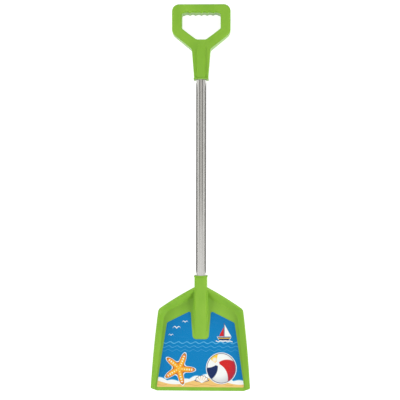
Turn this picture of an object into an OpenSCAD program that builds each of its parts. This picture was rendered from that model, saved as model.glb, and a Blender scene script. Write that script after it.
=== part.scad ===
// Child's sand shovel: a moulded scoop blade and a moulded D-grip on a steel tube.
// It lies on its back, as it rests on the ground: the open side of the scoop faces +Z, the grip
// points to +Y, X runs across the blade, and the origin is under the middle of its length.
// Each piece is drawn upright and then laid down. Upright, Z runs up the tube from the blade's
// front edge, and the open side of the scoop faces -Y, with depths measured from the tube's axis.

/* [Tube] */
// Outer diameter of the steel tube
tube_d = 18; // [14:0.5:18.6]
// Thickness of the tube's wall
tube_wall = 0.8; // [0.5:0.1:2]
// Length of bare tube between the two sockets
bare_len = 352; // [120:1:900]
// How far the tube goes down into the blade's socket
tube_in_blade = 72; // [45:1:85]
// How far the tube goes up into the grip's socket
tube_in_grip = 56; // [40:1:62]
// Radial clearance between the tube and its sockets
tube_clear = 0.1; // [0.05:0.05:0.3]

/* [Blade floor] */
// Width of the straight front edge
front_w = 156; // [120:1:158]
// Radius of the two corners of the front edge
front_corner_r = 3.5; // [1:0.5:5]
// How far the floor reaches past the feet of the side walls
front_reach = 1.5; // [1:0.1:4]
// Width between the side walls at their front ends
floor_front_w = 161; // [161:1:220]
// Width between the side walls at the shoulders, before rounding
floor_shoulder_w = 130.6; // [100:0.1:150]
// Height of the floor's shoulder corner above the front edge
floor_shoulder_z = 136; // [115:1:145]
// Height at which the floor's two upper edges meet, behind the socket
floor_top_z = 168; // [155:1:175]
// Radius of the floor's shoulder corners
floor_corner_r = 24; // [8:1:30]
// Thickness of the blade's floor and walls
shell_t = 2.2; // [1.5:0.1:3]
// Angle between the floor and the tube
lift = 9; // [8:0.1:10]

/* [Blade rim] */
// Depth of the scoop at the front ends of its walls
front_depth = 5; // [4:0.1:8]
// Angle between the plane of the rim and the tube
rim_tilt = 6.5; // [6:0.1:7]
// Width of the flat flange round the rim
rim_w = 3.5; // [2.5:0.1:4.5]
// Thickness of that flange
rim_t = 2.6; // [1.5:0.1:2.8]
// Distance from floor to outer rim at the front ends
wall_run_front = 7.4; // [6.5:0.1:14]
// Distance from floor to outer rim at the shoulders, measured across
wall_run_shoulder = 10.5; // [8:0.1:18]
// Distance from floor to outer rim at the top, measured up
wall_run_top = 19.5; // [14:0.1:26]
// Height of the rim's front ends above the front edge
rim_front_z = 5.5; // [4:0.1:10]
// How far the rim's shoulder corner lies above the floor's
rim_shoulder_rise = 7; // [2:0.1:10]
// Radius of the rim's shoulder corners
rim_corner_r = 10; // [5:1:20]
// Bow of the rim's two upper edges
rim_top_bow = 1.5; // [0:0.1:3]
// Bow of the rim's two sides
rim_side_bow = 1.1; // [0:0.1:3]
// Radius where the walls rise from the floor
root_r = 3.5; // [1:0.5:6]
// Rounding of the rim's edges
rim_edge_r = 1.2; // [0.4:0.1:1.4]

/* [Blade socket] */
// Width of the socket and of the ridge that it becomes
socket_w = 22.8; // [22.8:0.1:28]
// Corner radius of the socket
socket_r = 3.5; // [1:0.1:5]
// Height of the socket's mouth above the front edge
mouth_z = 202; // [196:1:230]
// Width of the lip round the mouth
lip_w = 24.6; // [23.6:0.1:30]
// Height of the lip
lip_h = 2.2; // [1:0.1:4]
// Height at which the ridge has sunk into the floor
ridge_end_z = 86; // [82:1:88]
// Height of the slanted lower end on the back of the socket
socket_back_end_z = 122; // [118:1:124]
// Radius of the drain hole below the tube's seat
drain_r = 7; // [5:0.1:7.5]

/* [Grip] */
// Overall width of the grip
grip_w = 105.2; // [96:0.1:130]
// Width of the hand opening
hole_w = 69.2; // [60:0.1:75]
// Height of the hand opening
hole_h = 47.2; // [40:0.1:60]
// Height of the opening's straight sides
hole_side_h = 27; // [20:0.1:32]
// Width of the opening's flat bottom
hole_bottom_w = 17; // [10:0.1:24]
// Height of the bar above the opening
bar_h = 16.4; // [12:0.1:24]
// Height of the hub between the opening and the socket
hub_h = 17.3; // [14:0.1:24]
// Height of the grip's outer lower corners above the socket
arm_rise = 29.3; // [25:0.1:33]
// Outer radius of the upper corners
grip_top_r = 12.5; // [6:0.5:16]
// Outer radius of the lower corners
grip_side_r = 14.5; // [6:0.5:18]
// Radius of the hollow between each arm and the socket
arm_fillet_r = 9; // [4:0.5:12]
// Corner radius at the top of the hand opening
hole_top_r = 3.5; // [2:0.5:5]
// Corner radius at the sides of the hand opening
hole_side_r = 2.5; // [1:0.5:6]
// Corner radius at the bottom of the hand opening
hole_bottom_r = 8; // [3:0.5:10]
// Distance of the ring's face in front of the tube's axis
ring_front = 10.5; // [9:0.1:12.5]
// Rounding of the ring's front edges
ring_edge_r = 3.2; // [1:0.1:4]
// Wall thickness of the ring, which is open at the back
ring_t = 2.6; // [1.8:0.1:3.2]
// Thickness of the ribs inside the ring
rib_t = 1.6; // [1:0.1:2.5]
// How far the ribs stay below the ring's back edge
rib_inset = 1.5; // [0.5:0.1:4]

/* [Finger grooves] */
// Number of finger grooves under the bar
groove_count = 6; // [4:1:8]
// Depth of a finger groove
groove_depth = 1.7; // [0.5:0.1:2.5]
// How much further the grooves round over the bar's front edge
groove_wrap = 3.2; // [0:0.1:4]

/* [Grip socket] */
// Length of the grip's socket below its shoulder
grip_socket_len = 53.5; // [48:0.5:80]
// Width of the socket at its shoulder
shoulder_w = 33.6; // [30:0.1:42]
// Width of the socket just above its mouth
grip_mouth_w = 25; // [24:0.1:28]
// Width of the lip round the grip's mouth
grip_lip_w = 27; // [26:0.1:34]
// Width of the raised panel down the front
panel_w = 17; // [12:0.1:20]
// Height of the raised panel over the wings beside it
panel_rise = 2; // [1:0.1:3]
// Bevel along the panel's edges
panel_bevel = 1.4; // [0.4:0.1:2]
// Distance of the panel's face in front of the axis, at the shoulder
panel_front_top = 15.5; // [14:0.1:20]
// Distance of the panel's face in front of the axis, at the mouth
panel_front_mouth = 12.8; // [12:0.1:16]

/* [Label] */
// Thickness of the printed film
label_t = 0.25; // [0.1:0.05:0.6]
// Bare strip between the film and the front edge
label_front_gap = 6.3; // [4:0.1:12]
// Bare strip between the film and the side wall's foot, at the front
label_side_gap = 2.6; // [2.4:0.1:8]
// Bare strip between the film and the side wall's foot, at the shoulders
label_shoulder_gap = 4.9; // [3:0.1:10]
// Drop from the floor's upper edge to the film's upper edge
label_top_gap = 20.5; // [12:0.5:30]
// Half width of the film's slot at its open top
slot_top_half = 18.3; // [17:0.1:26]
// Half width of the film's slot at its bottom
slot_bottom_half = 14.3; // [13:0.1:18]
// Gap between the bottom of the ridge and the slot
slot_end_gap = 3; // [1:0.5:12]
// Radius of the film's front corners
label_front_r = 2; // [1:0.5:6]
// Radius of the film's shoulder corners
label_shoulder_r = 4; // [1:0.5:6]
// Radius of the film's corners at the open top of its slot
label_ear_r = 3; // [1:0.5:6]
// Radius of the corners at the bottom of the slot
label_slot_r = 7; // [1:0.5:7]

/* [Screws] */
// Radius of a fixing screw's shank
screw_r = 1.5; // [1:0.1:2]
// Length of the shank under the head
screw_len = 9; // [8:0.5:11]
// Radius of the screw's head
screw_head_r = 3.2; // [2.6:0.1:4]
// Height of the screw's head
screw_head_h = 1.8; // [1:0.1:2]
// Width of one arm of the cross recess in the head
screw_cross_w = 0.9; // [0.6:0.1:1.2]
// Clearance round the shank and the head
screw_clear = 0.2; // [0.1:0.1:0.5]
// Depth of the recess that holds the head
screw_sink = 2.2; // [2.1:0.1:2.5]
// Distance of the sockets' flat backs behind the tube's axis
back_y = 13.6; // [13.4:0.1:16]

/* [Hidden] */

$fn = 64;
// Number of straight steps in an arc of an outline
arc_steps = 8;
// Stations along each upper edge and each side of the blade
edge_steps = 6;
// Steps across one finger groove
groove_steps = 8;
// Thickness of the slices that are lofted into one shape
slice = 0.02;
// Overrun of every cut
over = 1;
// Most that a rounded corner may take of the sides that meet in it
corner_share = 0.48;
// Most that the roundings may take of the slope and the depth of the blade's wall
root_share = 0.4;
edge_share = 0.3;
flange_share = 0.9;
// Step inwards of the ring's outline where it runs down inside the grip's socket
neck_inset = 1;
// Places of the arms' ribs along the straight part of each outline
arm_inner_share = 0.5;
arm_outer_share = 0.4;
// Shape of a screw: tip and head's rim, and reach and floor of its cross recess
screw_tip_share = 0.4;
head_rim_share = 0.35;
cross_reach_share = 0.55;
cross_floor_share = 0.4;

// Height at which the ridge's face meets the floor
ridge_sink_z = ridge_end_z + shell_t / 2 / tan(lift);
grip_mouth_z = mouth_z + bare_len;
shoulder_z = grip_mouth_z + grip_socket_len;
hole_bottom_z = shoulder_z + hub_h;
hole_top_z = hole_bottom_z + hole_h;
grip_top_z = hole_top_z + bar_h;
tube_bottom_z = mouth_z - tube_in_blade;
tube_top_z = grip_mouth_z + tube_in_grip;
bore_r = tube_d / 2 + tube_clear;
blade_screw_z = mouth_z - tube_in_blade / 2;
grip_screw_z = grip_mouth_z + tube_in_grip / 2;

// Points and outlines

function unit(v) = v / norm(v);
function mix(a, b, t) = a + (b - a) * t;
function turn(a, b) = (b - a + 540) % 360 - 180;

// Arc that rounds the corner v between the points p and n
function corner(p, v, n, r, steps) =
    let(u = unit(p - v), w = unit(n - v), half = acos(u * w) / 2,
        reach = min(r / tan(half), corner_share * norm(p - v), corner_share * norm(n - v)),
        radius = reach * tan(half),
        c = v + unit(u + w) * radius / sin(half),
        from = v + u * reach - c, to = v + w * reach - c,
        a = atan2(from.y, from.x), sweep = turn(a, atan2(to.y, to.x)))
    [for (i = [0:steps]) c + radius * [cos(a + sweep * i / steps), sin(a + sweep * i / steps)]];

function mirror_x(pts) = [for (i = [len(pts) - 1:-1:0]) [-pts[i].x, pts[i].y]];

// Two triangles for the cell between rows a and b, columns c and d, of a grid
function cell(a, b, c, d, cols) = [[a * cols + c, b * cols + c, b * cols + d],
                                   [a * cols + c, b * cols + d, a * cols + d]];

// Lays its upright children down on the flat backs of the sockets
module laid() { translate([0, -grip_top_z / 2, back_y]) rotate([-90, 0, 0]) children(); }

module rounded_bar(x, y0, y1, r, h) {
    for (sx = [-1, 1], sy = [y0 + r, y1 - r])
        translate([sx * (x / 2 - r), sy, 0]) cylinder(h = h, r = r);
    translate([-x / 2 + r, y0, 0]) cube([x - 2 * r, y1 - y0, h]);
    translate([-x / 2, y0 + r, 0]) cube([x, y1 - y0 - 2 * r, h]);
}

// Blade

// Depth of the floor's front face and of the rim's face at a height z
function floor_y(z) = (z - ridge_sink_z) * tan(lift) - socket_w / 2;
function rim_y(z) = floor_y(rim_front_z) - front_depth + (z - rim_front_z) * tan(rim_tilt);
floor_back = shell_t / cos(lift);
rim_top_z = floor_top_z + wall_run_top;

// Line from the point a to b, bowed outwards to the side of the normal
function bowed(a, b, bow) = let(n = unit([b.y - a.y, a.x - b.x]))
    [for (i = [1:edge_steps]) let(t = i / edge_steps) mix(a, b, t) + n * bow * 4 * t * (1 - t)];

// Right half of an outline of the blade, from its front end over the shoulder to the top
function half_line(end, knee, top, r, side_bow, top_bow) =
    let(bend = corner(end, knee, top, r, arc_steps))
    concat([end], bowed(end, bend[0], side_bow), [for (i = [1:arc_steps]) bend[i]],
           bowed(bend[arc_steps], top, top_bow));

floor_line = half_line([floor_front_w / 2, front_reach],
                       [floor_shoulder_w / 2, floor_shoulder_z], [0, floor_top_z],
                       floor_corner_r, 0, 0);
rim_line = half_line([floor_front_w / 2 + wall_run_front, rim_front_z],
                     [floor_shoulder_w / 2 + wall_run_shoulder,
                      floor_shoulder_z + rim_shoulder_rise], [0, rim_top_z],
                     rim_corner_r, rim_side_bow, rim_top_bow);

// Section of floor, wall and flange at one station, from the floor's front face to its back
function wall_section(f, r) =
    let(run = norm(r - f), out = (r - f) / run,
        on_floor = function(s, back) let(p = f + out * s) [p.x, floor_y(p.y) + back, p.y],
        on_rim = function(s, back) let(p = f + out * s) [p.x, rim_y(p.y) + back, p.y],
        foot = run - rim_w, a = on_floor(0, 0), b = on_rim(foot, 0),
        slope = norm(b - a), up = (b - a) / slope, depth = a.y - b.y,
        root = min(root_r, slope * root_share), edge = min(rim_edge_r, slope * edge_share),
        flange = min(rim_t, depth * flange_share), shift = shell_t * slope / depth,
        low = on_floor(-root, 0), high = a + up * root)
    concat([for (i = [0:4]) let(t = i / 4)
                (1 - t) * (1 - t) * low + 2 * t * (1 - t) * a + t * t * high],
        [b - up * edge, on_rim(foot + edge / 2, 0), on_rim(run - edge, 0),
         on_rim(run - edge * edge_share, edge * edge_share), on_rim(run, edge),
         on_rim(run, flange - edge / 2), on_rim(run - edge / 2, flange),
         on_rim(foot * (depth - flange) / depth + shift, flange),
         on_floor(shift - foot * shell_t / depth, floor_back), on_floor(-root, floor_back)]);

module scoop() {
    half = [for (i = [0:len(floor_line) - 1]) wall_section(floor_line[i], rim_line[i])];
    flip = [for (i = [len(half) - 2:-1:0]) [for (p = half[i]) [-p.x, p.y, p.z]]];
    rows = concat(half, flip);
    n = len(rows);
    cols = len(rows[0]);
    mid = len(half) - 1;
    // Right half of the strip in front of the walls, down to the front edge
    tongue = corner([front_w / 2, front_reach], [front_w / 2, 0], [0, 0], front_corner_r,
                    arc_steps);
    lip = concat([for (p = tongue) [p.x, floor_y(p.y), p.y]],
                 [for (p = tongue) [p.x, floor_y(p.y) + floor_back, p.y]],
                 [for (p = tongue) [-p.x, floor_y(p.y), p.y]],
                 [for (p = tongue) [-p.x, floor_y(p.y) + floor_back, p.y]]);
    m = len(tongue);
    base = n * cols;
    last = cols - 1;
    right = function(i, back) i < 0 ? back * last : base + back * m + i;
    left = function(i, back) i < 0 ? (n - 1) * cols + back * last : base + (2 + back) * m + i;
    walls = [for (i = [0:n - 2], j = [0:cols - 2]) each cell(i, i + 1, j, j + 1, cols)];
    ends = [[for (j = [0:last]) j], [for (j = [last:-1:0]) (n - 1) * cols + j]];
    floor_faces = [for (i = [0:mid - 1]) each [
        [i * cols, (n - 1 - i) * cols, (n - 2 - i) * cols],
        if (i < mid - 1) [i * cols, (n - 2 - i) * cols, (i + 1) * cols],
        [i * cols + last, (n - 2 - i) * cols + last, (n - 1 - i) * cols + last],
        if (i < mid - 1) [i * cols + last, (i + 1) * cols + last, (n - 2 - i) * cols + last]]];
    strip = [for (i = [-1:m - 2]) each [
        [right(i, 0), right(i + 1, 0), left(i + 1, 0)], [right(i, 0), left(i + 1, 0), left(i, 0)],
        [right(i, 1), left(i + 1, 1), right(i + 1, 1)], [right(i, 1), left(i, 1), left(i + 1, 1)],
        [right(i, 0), right(i, 1), right(i + 1, 1)], [right(i, 0), right(i + 1, 1), right(i + 1, 0)],
        [left(i, 0), left(i + 1, 1), left(i, 1)], [left(i, 0), left(i + 1, 0), left(i + 1, 1)]]];
    edge = [[right(m - 1, 0), right(m - 1, 1), left(m - 1, 1)],
            [right(m - 1, 0), left(m - 1, 1), left(m - 1, 0)]];
    polyhedron(points = concat([for (row = rows) each row], lip),
               faces = concat(walls, ends, floor_faces, strip, edge), convexity = 6);
}

module blade_socket() {
    front = socket_w / 2;
    intersection() {
        union() {
            translate([0, 0, ridge_end_z])
                rounded_bar(socket_w, -front, back_y, socket_r, mouth_z - ridge_end_z);
            translate([0, 0, mouth_z - lip_h])
                rounded_bar(lip_w, -lip_w / 2, back_y, socket_r, lip_h);
        }
        // Side view of the socket, slanted off at its lower end
        rotate([90, 0, 90]) translate([0, 0, -lip_w])
            linear_extrude(2 * lip_w)
                polygon([[-lip_w, ridge_end_z], [-front + shell_t, ridge_end_z],
                         [back_y, socket_back_end_z], [back_y, mouth_z], [-lip_w, mouth_z]]);
    }
}

module screw_hole(z) {
    translate([0, back_y - screw_sink, z]) rotate([-90, 0, 0]) {
        cylinder(h = screw_sink + over, r = screw_head_r + screw_clear);
        translate([0, 0, -back_y + screw_sink]) cylinder(h = back_y, r = screw_r + screw_clear);
    }
}

module blade() {
    color([0.55, 0.76, 0.25]) laid() difference() {
        union() {
            scoop();
            blade_socket();
        }
        translate([0, 0, tube_bottom_z])
            cylinder(h = mouth_z - tube_bottom_z + over, r = bore_r);
        translate([0, 0, ridge_end_z - over])
            cylinder(h = tube_bottom_z - ridge_end_z + 2 * over, r = drain_r);
        screw_hole(blade_screw_z);
    }
}

// Label

function floor_edge_x(z) = mix(floor_shoulder_w / 2, floor_front_w / 2,
    (floor_shoulder_z - z) / (floor_shoulder_z - front_reach));
function floor_edge_z(x) = mix(floor_top_z, floor_shoulder_z, x / (floor_shoulder_w / 2));

module label() {
    knee_x = floor_shoulder_w / 2 - label_shoulder_gap;
    slot_z = ridge_end_z + slot_end_gap;
    half = [[0, slot_z], [slot_bottom_half, slot_z],
            [slot_top_half, floor_edge_z(slot_top_half) - label_top_gap],
            [knee_x, floor_edge_z(knee_x) - label_top_gap],
            [floor_edge_x(label_front_gap) - label_side_gap, label_front_gap],
            [0, label_front_gap]];
    radii = [0, label_slot_r, label_ear_r, label_shoulder_r, label_front_r];
    side = [for (i = [1:4]) each corner(half[i - 1], half[i], half[i + 1], radii[i], arc_steps)];
    outline = concat(side, mirror_x(side));
    color([0.1, 0.52, 0.74]) laid()
        translate([0, floor_y(0), 0]) rotate([90 - lift, 0, 0])
            linear_extrude(label_t) polygon([for (p = outline) [p.x, p.y / cos(lift)]]);
}

// Tube

module tube() {
    color([0.72, 0.71, 0.69]) laid() difference() {
        translate([0, 0, tube_bottom_z]) cylinder(h = tube_top_z - tube_bottom_z, r = tube_d / 2);
        translate([0, 0, tube_bottom_z - over])
            cylinder(h = tube_top_z - tube_bottom_z + 2 * over, r = tube_d / 2 - tube_wall);
        for (z = [blade_screw_z, grip_screw_z])
            translate([0, 0, z]) rotate([-90, 0, 0]) cylinder(h = tube_d, r = screw_r + screw_clear);
    }
}

// Grip

// Right halves of the grip's two outlines, from the middle of the bar round to the hub
outer_corners = [[0, grip_top_z], [grip_w / 2, grip_top_z], [grip_w / 2, shoulder_z + arm_rise],
                 [shoulder_w / 2, shoulder_z],
                 [shoulder_w / 2 - neck_inset, shoulder_z - arm_fillet_r],
                 [0, shoulder_z - arm_fillet_r]];
inner_corners = [[0, hole_top_z], [hole_w / 2, hole_top_z],
                 [hole_w / 2, hole_top_z - hole_side_h], [hole_bottom_w / 2, hole_bottom_z],
                 [0, hole_bottom_z]];
// Ends of the rib half way along the right arm
arm_inner = mix(inner_corners[2], inner_corners[3], arm_inner_share);
arm_outer = mix(outer_corners[2], outer_corners[3], arm_outer_share);
groove_pitch = (hole_w - 2 * hole_top_r) / groove_count;
groove_n = groove_count * groove_steps / 2;
groove_xs = [for (i = [0:groove_n]) groove_pitch * i / groove_steps];
// Share of a groove's depth at a distance x from the middle of the bar
function groove_share(x) = abs(sin(180 * (x / groove_pitch + groove_count / 2)));

outer_half = concat(
    [for (x = groove_xs) [x, grip_top_z]],
    corner(outer_corners[0], outer_corners[1], outer_corners[2], grip_top_r, arc_steps),
    corner(outer_corners[1], outer_corners[2], outer_corners[3], grip_side_r, arc_steps),
    corner(outer_corners[2], outer_corners[3], outer_corners[4], arm_fillet_r, arc_steps),
    [outer_corners[4], outer_corners[5]]);
inner_half = concat(
    [for (x = groove_xs) [x, hole_top_z + groove_depth * groove_share(x)]],
    corner(inner_corners[0], inner_corners[1], inner_corners[2], hole_top_r, arc_steps),
    corner(inner_corners[1], inner_corners[2], inner_corners[3], hole_side_r, arc_steps),
    corner(inner_corners[2], inner_corners[3], inner_corners[4], hole_bottom_r, arc_steps),
    [[hole_bottom_w / 4, hole_bottom_z], [0, hole_bottom_z]]);
inner_edge_r = concat([for (x = groove_xs) ring_edge_r + groove_wrap * groove_share(x)],
                      [for (i = [len(groove_xs):len(outer_half) - 1]) ring_edge_r]);

// Open-backed section of the ring between an inner point a and an outer point b
function ring_section(a, b, edge_r) =
    let(width = norm(b - a), out = (b - a) / width, front = -ring_front, t = ring_t,
        at = function(s, y) [a.x + out.x * s, y, a.y + out.y * s])
    concat([for (i = [0:4]) let(w = 90 * i / 4)
                at(edge_r * (1 - sin(w)), front + edge_r * (1 - cos(w)))],
        [at(0, back_y - t / 3), at(t / 3, back_y), at(t, back_y), at(t, front + edge_r + t / 3),
         at(t + edge_r / 2, front + t), at(width - t - ring_edge_r / 2, front + t),
         at(width - t, front + ring_edge_r + t / 3), at(width - t, back_y),
         at(width - t / 3, back_y), at(width, back_y - t / 3)],
        [for (i = [4:-1:0]) let(w = 90 * i / 4)
                at(width - ring_edge_r * (1 - sin(w)), front + ring_edge_r * (1 - cos(w)))]);

module ring() {
    half = [for (i = [0:len(outer_half) - 1])
                ring_section(inner_half[i], outer_half[i], inner_edge_r[i])];
    flip = [for (i = [len(half) - 2:-1:1]) [for (p = half[i]) [-p.x, p.y, p.z]]];
    rows = concat(half, flip);
    n = len(rows);
    cols = len(rows[0]);
    polyhedron(points = [for (row = rows) each row],
               faces = [for (i = [0:n - 1], j = [0:cols - 1])
                            each cell(i, (i + 1) % n, j, (j + 1) % cols, cols)],
               convexity = 6);
}

// Rib across the ring's channel between an inner point a and an outer point b
module rib(a, b) {
    d = b - a;
    depth = ring_front + back_y - ring_t / 2 - rib_inset;
    translate([a.x, -ring_front + ring_t / 2, a.y]) rotate([0, -atan2(d.y, d.x), 0])
        translate([ring_t / 2, 0, -rib_t / 2]) cube([norm(d) - ring_t, depth, rib_t]);
}

module ribs() {
    for (k = [1:groove_count - 1]) {
        x = groove_pitch * (k - groove_count / 2);
        rib([x, hole_top_z], [x, grip_top_z]);
    }
    side_z = hole_top_z - hole_side_h / 2;
    knee = len(groove_xs) + arc_steps + 1 + arc_steps / 2;
    for (side = [-1, 1]) {
        rib([side * hole_w / 2, side_z], [side * grip_w / 2, side_z]);
        rib([side * inner_half[knee].x, inner_half[knee].y],
            [side * outer_half[knee].x, outer_half[knee].y]);
        rib([side * arm_inner.x, arm_inner.y], [side * arm_outer.x, arm_outer.y]);
    }
    rib([0, hole_bottom_z], [0, tube_top_z]);
}

// Slice of the grip's socket with bevelled front edges, from the depth y0 back to y1
module socket_slice(w, y0, y1, bevel, z) {
    translate([0, 0, z]) linear_extrude(slice)
        polygon([[-w / 2 + bevel, y0], [w / 2 - bevel, y0], [w / 2, y0 + bevel],
                 [w / 2, y1], [-w / 2, y1], [-w / 2, y0 + bevel]]);
}

module grip_socket() {
    hub_back = -ring_front + ring_t;
    hull() {
        socket_slice(shoulder_w, -panel_front_top + panel_rise, back_y, panel_bevel,
                     shoulder_z - slice);
        socket_slice(grip_mouth_w, -panel_front_mouth + panel_rise, back_y, panel_bevel,
                     grip_mouth_z);
    }
    hull() {
        socket_slice(panel_w, -panel_front_top, 0, panel_bevel, shoulder_z - slice);
        socket_slice(panel_w, -panel_front_mouth, 0, panel_bevel, grip_mouth_z);
    }
    // Front of the hub, which slopes back from the panel to the ring
    hull() {
        socket_slice(panel_w, -panel_front_top, hub_back, panel_bevel, shoulder_z - slice);
        socket_slice(panel_w, -ring_front, hub_back, panel_bevel, hole_bottom_z - ring_edge_r);
    }
    translate([0, 0, grip_mouth_z])
        rounded_bar(grip_lip_w, -(panel_front_mouth + (grip_lip_w - grip_mouth_w) / 2), back_y,
                    socket_r, lip_h);
    // Core of the hub, which closes the socket above the tube
    translate([-shoulder_w / 2 + ring_t, -ring_front + ring_t / 2, shoulder_z - arm_fillet_r])
        cube([shoulder_w - 2 * ring_t, ring_front + back_y - ring_t / 2,
              tube_top_z + ring_t - shoulder_z + arm_fillet_r]);
}

// Sloped face of the arms beside the hub, cut to the grip's outline
module arm_slope() {
    crease_z = hole_bottom_z - ring_edge_r;
    low_z = shoulder_z - arm_fillet_r;
    front = -panel_front_top + panel_rise;
    intersection() {
        rotate([90, 0, 90]) translate([0, 0, -grip_w / 2]) linear_extrude(grip_w)
            polygon([[-ring_front, crease_z], [front, shoulder_z], [-ring_front, low_z],
                     [-ring_front + ring_t, low_z], [-ring_front + ring_t, crease_z]]);
        rotate([90, 0, 0]) linear_extrude(panel_front_top + over)
            polygon(concat([for (p = outer_half) p], mirror_x(outer_half)));
    }
}

module grip() {
    color([0.52, 0.73, 0.25]) laid() difference() {
        union() {
            ring();
            ribs();
            arm_slope();
            grip_socket();
        }
        translate([0, 0, grip_mouth_z - over])
            cylinder(h = tube_in_grip + over, r = bore_r);
        screw_hole(grip_screw_z);
    }
}

// Screws

// Screw with a domed head and a cross recess, its head's seat at the depth of the sink
module fixing_screw(z) {
    color([0.75, 0.75, 0.76]) laid() translate([0, back_y - screw_sink, z]) rotate([-90, 0, 0])
        difference() {
            rotate_extrude() polygon(concat(
                [[0, -screw_len], [screw_r * screw_tip_share, -screw_len],
                 [screw_r, -screw_len + screw_r * 2],
                 [screw_r, 0], [screw_head_r, 0], [screw_head_r, screw_head_h * head_rim_share]],
                [for (i = [1:arc_steps]) let(w = 90 * i / arc_steps)
                    [screw_head_r * cos(w), screw_head_h * mix(head_rim_share, 1, sin(w))]]));
            for (a = [0, 90]) rotate([0, 0, a])
                translate([-screw_head_r * cross_reach_share, -screw_cross_w / 2,
                           screw_head_h * cross_floor_share])
                    cube([2 * screw_head_r * cross_reach_share, screw_cross_w, screw_head_h]);
        }
}

module blade_screw() { fixing_screw(blade_screw_z); }
module grip_screw() { fixing_screw(grip_screw_z); }

blade();
label();
tube();
grip();
blade_screw();
grip_screw();
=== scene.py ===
"""Dresses the packed sand shovel: moulded blade and grip, steel tube, printed film, screws."""

import logging
import math
from dataclasses import dataclass
from enum import Enum
from typing import Any, Callable, Sequence

import bmesh
import bpy
import numpy as np
from mathutils import Matrix, Vector


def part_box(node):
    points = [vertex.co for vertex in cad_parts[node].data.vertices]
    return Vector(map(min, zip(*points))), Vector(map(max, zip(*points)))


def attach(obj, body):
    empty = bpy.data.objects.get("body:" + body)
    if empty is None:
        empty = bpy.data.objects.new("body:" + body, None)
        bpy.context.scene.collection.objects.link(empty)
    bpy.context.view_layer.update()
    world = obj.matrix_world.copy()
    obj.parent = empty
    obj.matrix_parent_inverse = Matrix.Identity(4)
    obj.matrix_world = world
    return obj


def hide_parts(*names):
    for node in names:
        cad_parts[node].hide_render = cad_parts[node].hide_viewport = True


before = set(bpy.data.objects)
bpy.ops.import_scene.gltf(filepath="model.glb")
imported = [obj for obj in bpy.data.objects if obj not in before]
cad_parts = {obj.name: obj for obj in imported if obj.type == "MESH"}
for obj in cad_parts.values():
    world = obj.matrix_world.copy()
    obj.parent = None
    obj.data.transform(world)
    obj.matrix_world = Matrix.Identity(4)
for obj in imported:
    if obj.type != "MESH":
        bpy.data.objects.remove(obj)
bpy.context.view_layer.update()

ROOT = "root"
MM = 0.001
LOG = logging.getLogger("sand_shovel")

Point = np.ndarray
Colour = tuple[float, float, float]
Stretch = tuple[float, float, float]
Range = tuple[float, float]

# Sizes that pieces share, in millimetres; heights are measured from the blade's front edge.
TUBE_BOTTOM_Z = 130.0
TUBE_TOP_Z = 610.0
BORE_R = 9.1
BACK_Y = 13.6
BLADE_SCREW_Z = 166.0
GRIP_SCREW_Z = 582.0
HEAD_SINK = 2.2
MOUTH_CHAMFER = 0.6
CUT_PAST = 2.0
RECESS_R = 3.4
RECESS_CHAMFER = 0.3
SHANK_HOLE_R = 1.7
SMALL_SEGMENTS = 48
HOLE_SEGMENTS = 32
HOLE_PAST = 0.5

# Limits of the mesh work.
MERGE_M = 2e-6
SOFTEN_MERGE_M = 1e-5
SOFTEN_STEPS = 3
FLAT_DEG = 0.4
SHARP_DEG = 32.0
NORMAL_WEIGHT = 80
STRAIGHT_RAD = 1e-4
SPLIT_MM = 1e-3
SIDE_SHARE = 0.47
TINY = 1e-6
LEAST_SQUARE = 0.01
MOST_COSINE = 0.99

UPRIGHT = Matrix.Identity(4)
BACKWARDS = Matrix.Rotation(-math.pi / 2, 4, "X")
MIRROR = np.array([-1.0, 1.0, 1.0])


def laid_down() -> Matrix:
    """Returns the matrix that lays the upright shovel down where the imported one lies.

    Upright, places are measured from the tube's axis at the height of the blade's front edge:
    X across the blade, Y backwards, Z up the tube.

    Returns:
        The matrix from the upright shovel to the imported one.
    """
    low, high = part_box("tube")
    base = ((low.x + high.x) / 2, low.y - TUBE_BOTTOM_Z * MM, (low.z + high.z) / 2)
    return Matrix.Translation(base) @ BACKWARDS


LAID = laid_down()
BASE = np.array(LAID.translation) / MM
GROUND_Y = BASE[2]


class Slot(Enum):
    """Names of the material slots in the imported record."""

    PLASTIC = "green_plastic"
    STEEL = "polished_steel"
    ZINC = "zinc_steel"


class Cut(Enum):
    """Ways to combine two closed meshes."""

    JOIN = "UNION"
    CARVE = "DIFFERENCE"
    KEEP = "INTERSECT"


# ---- Outlines ----


def unit(v: Point) -> Point:
    """Returns the vector at length one."""
    return v / np.linalg.norm(v)


def swing(start: Point, stop: Point, sweep: float, steps: int) -> list[Point]:
    """Returns steps + 1 points of an arc about the origin, from both ends and the angle."""
    return [(start * math.sin(sweep * (1 - k / steps)) + stop * math.sin(sweep * k / steps))
            / math.sin(sweep) for k in range(steps + 1)]


def arc_corner(before: Point, tip: Point, after: Point, radius: float, steps: int) -> list[Point]:
    """Rounds one corner of a line, in the plane of its three points.

    Args:
        before: The point before the corner.
        tip: The corner itself.
        after: The point after it.
        radius: Wanted radius; it shrinks where the sides are too short.
        steps: Number of steps in the arc.

    Returns:
        steps + 1 points from one tangent point to the other.
    """
    u, w = unit(before - tip), unit(after - tip)
    half = math.acos(float(np.clip(u @ w, -1.0, 1.0))) / 2
    if half > math.pi / 2 - STRAIGHT_RAD or radius <= 0:
        return [tip + (u * (1 - k / steps) + w * (k / steps)) * SPLIT_MM
                for k in range(steps + 1)]
    sides = min(np.linalg.norm(before - tip), np.linalg.norm(after - tip))
    reach = min(radius / math.tan(half), SIDE_SHARE * float(sides))
    fitted = reach * math.tan(half)
    centre = tip + unit(u + w) * fitted / math.sin(half)
    start, stop = tip + u * reach - centre, tip + w * reach - centre
    sweep = math.acos(float(np.clip(start @ stop / fitted**2, -1.0, 1.0)))
    return [centre + point for point in swing(start, stop, sweep, steps)]


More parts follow.
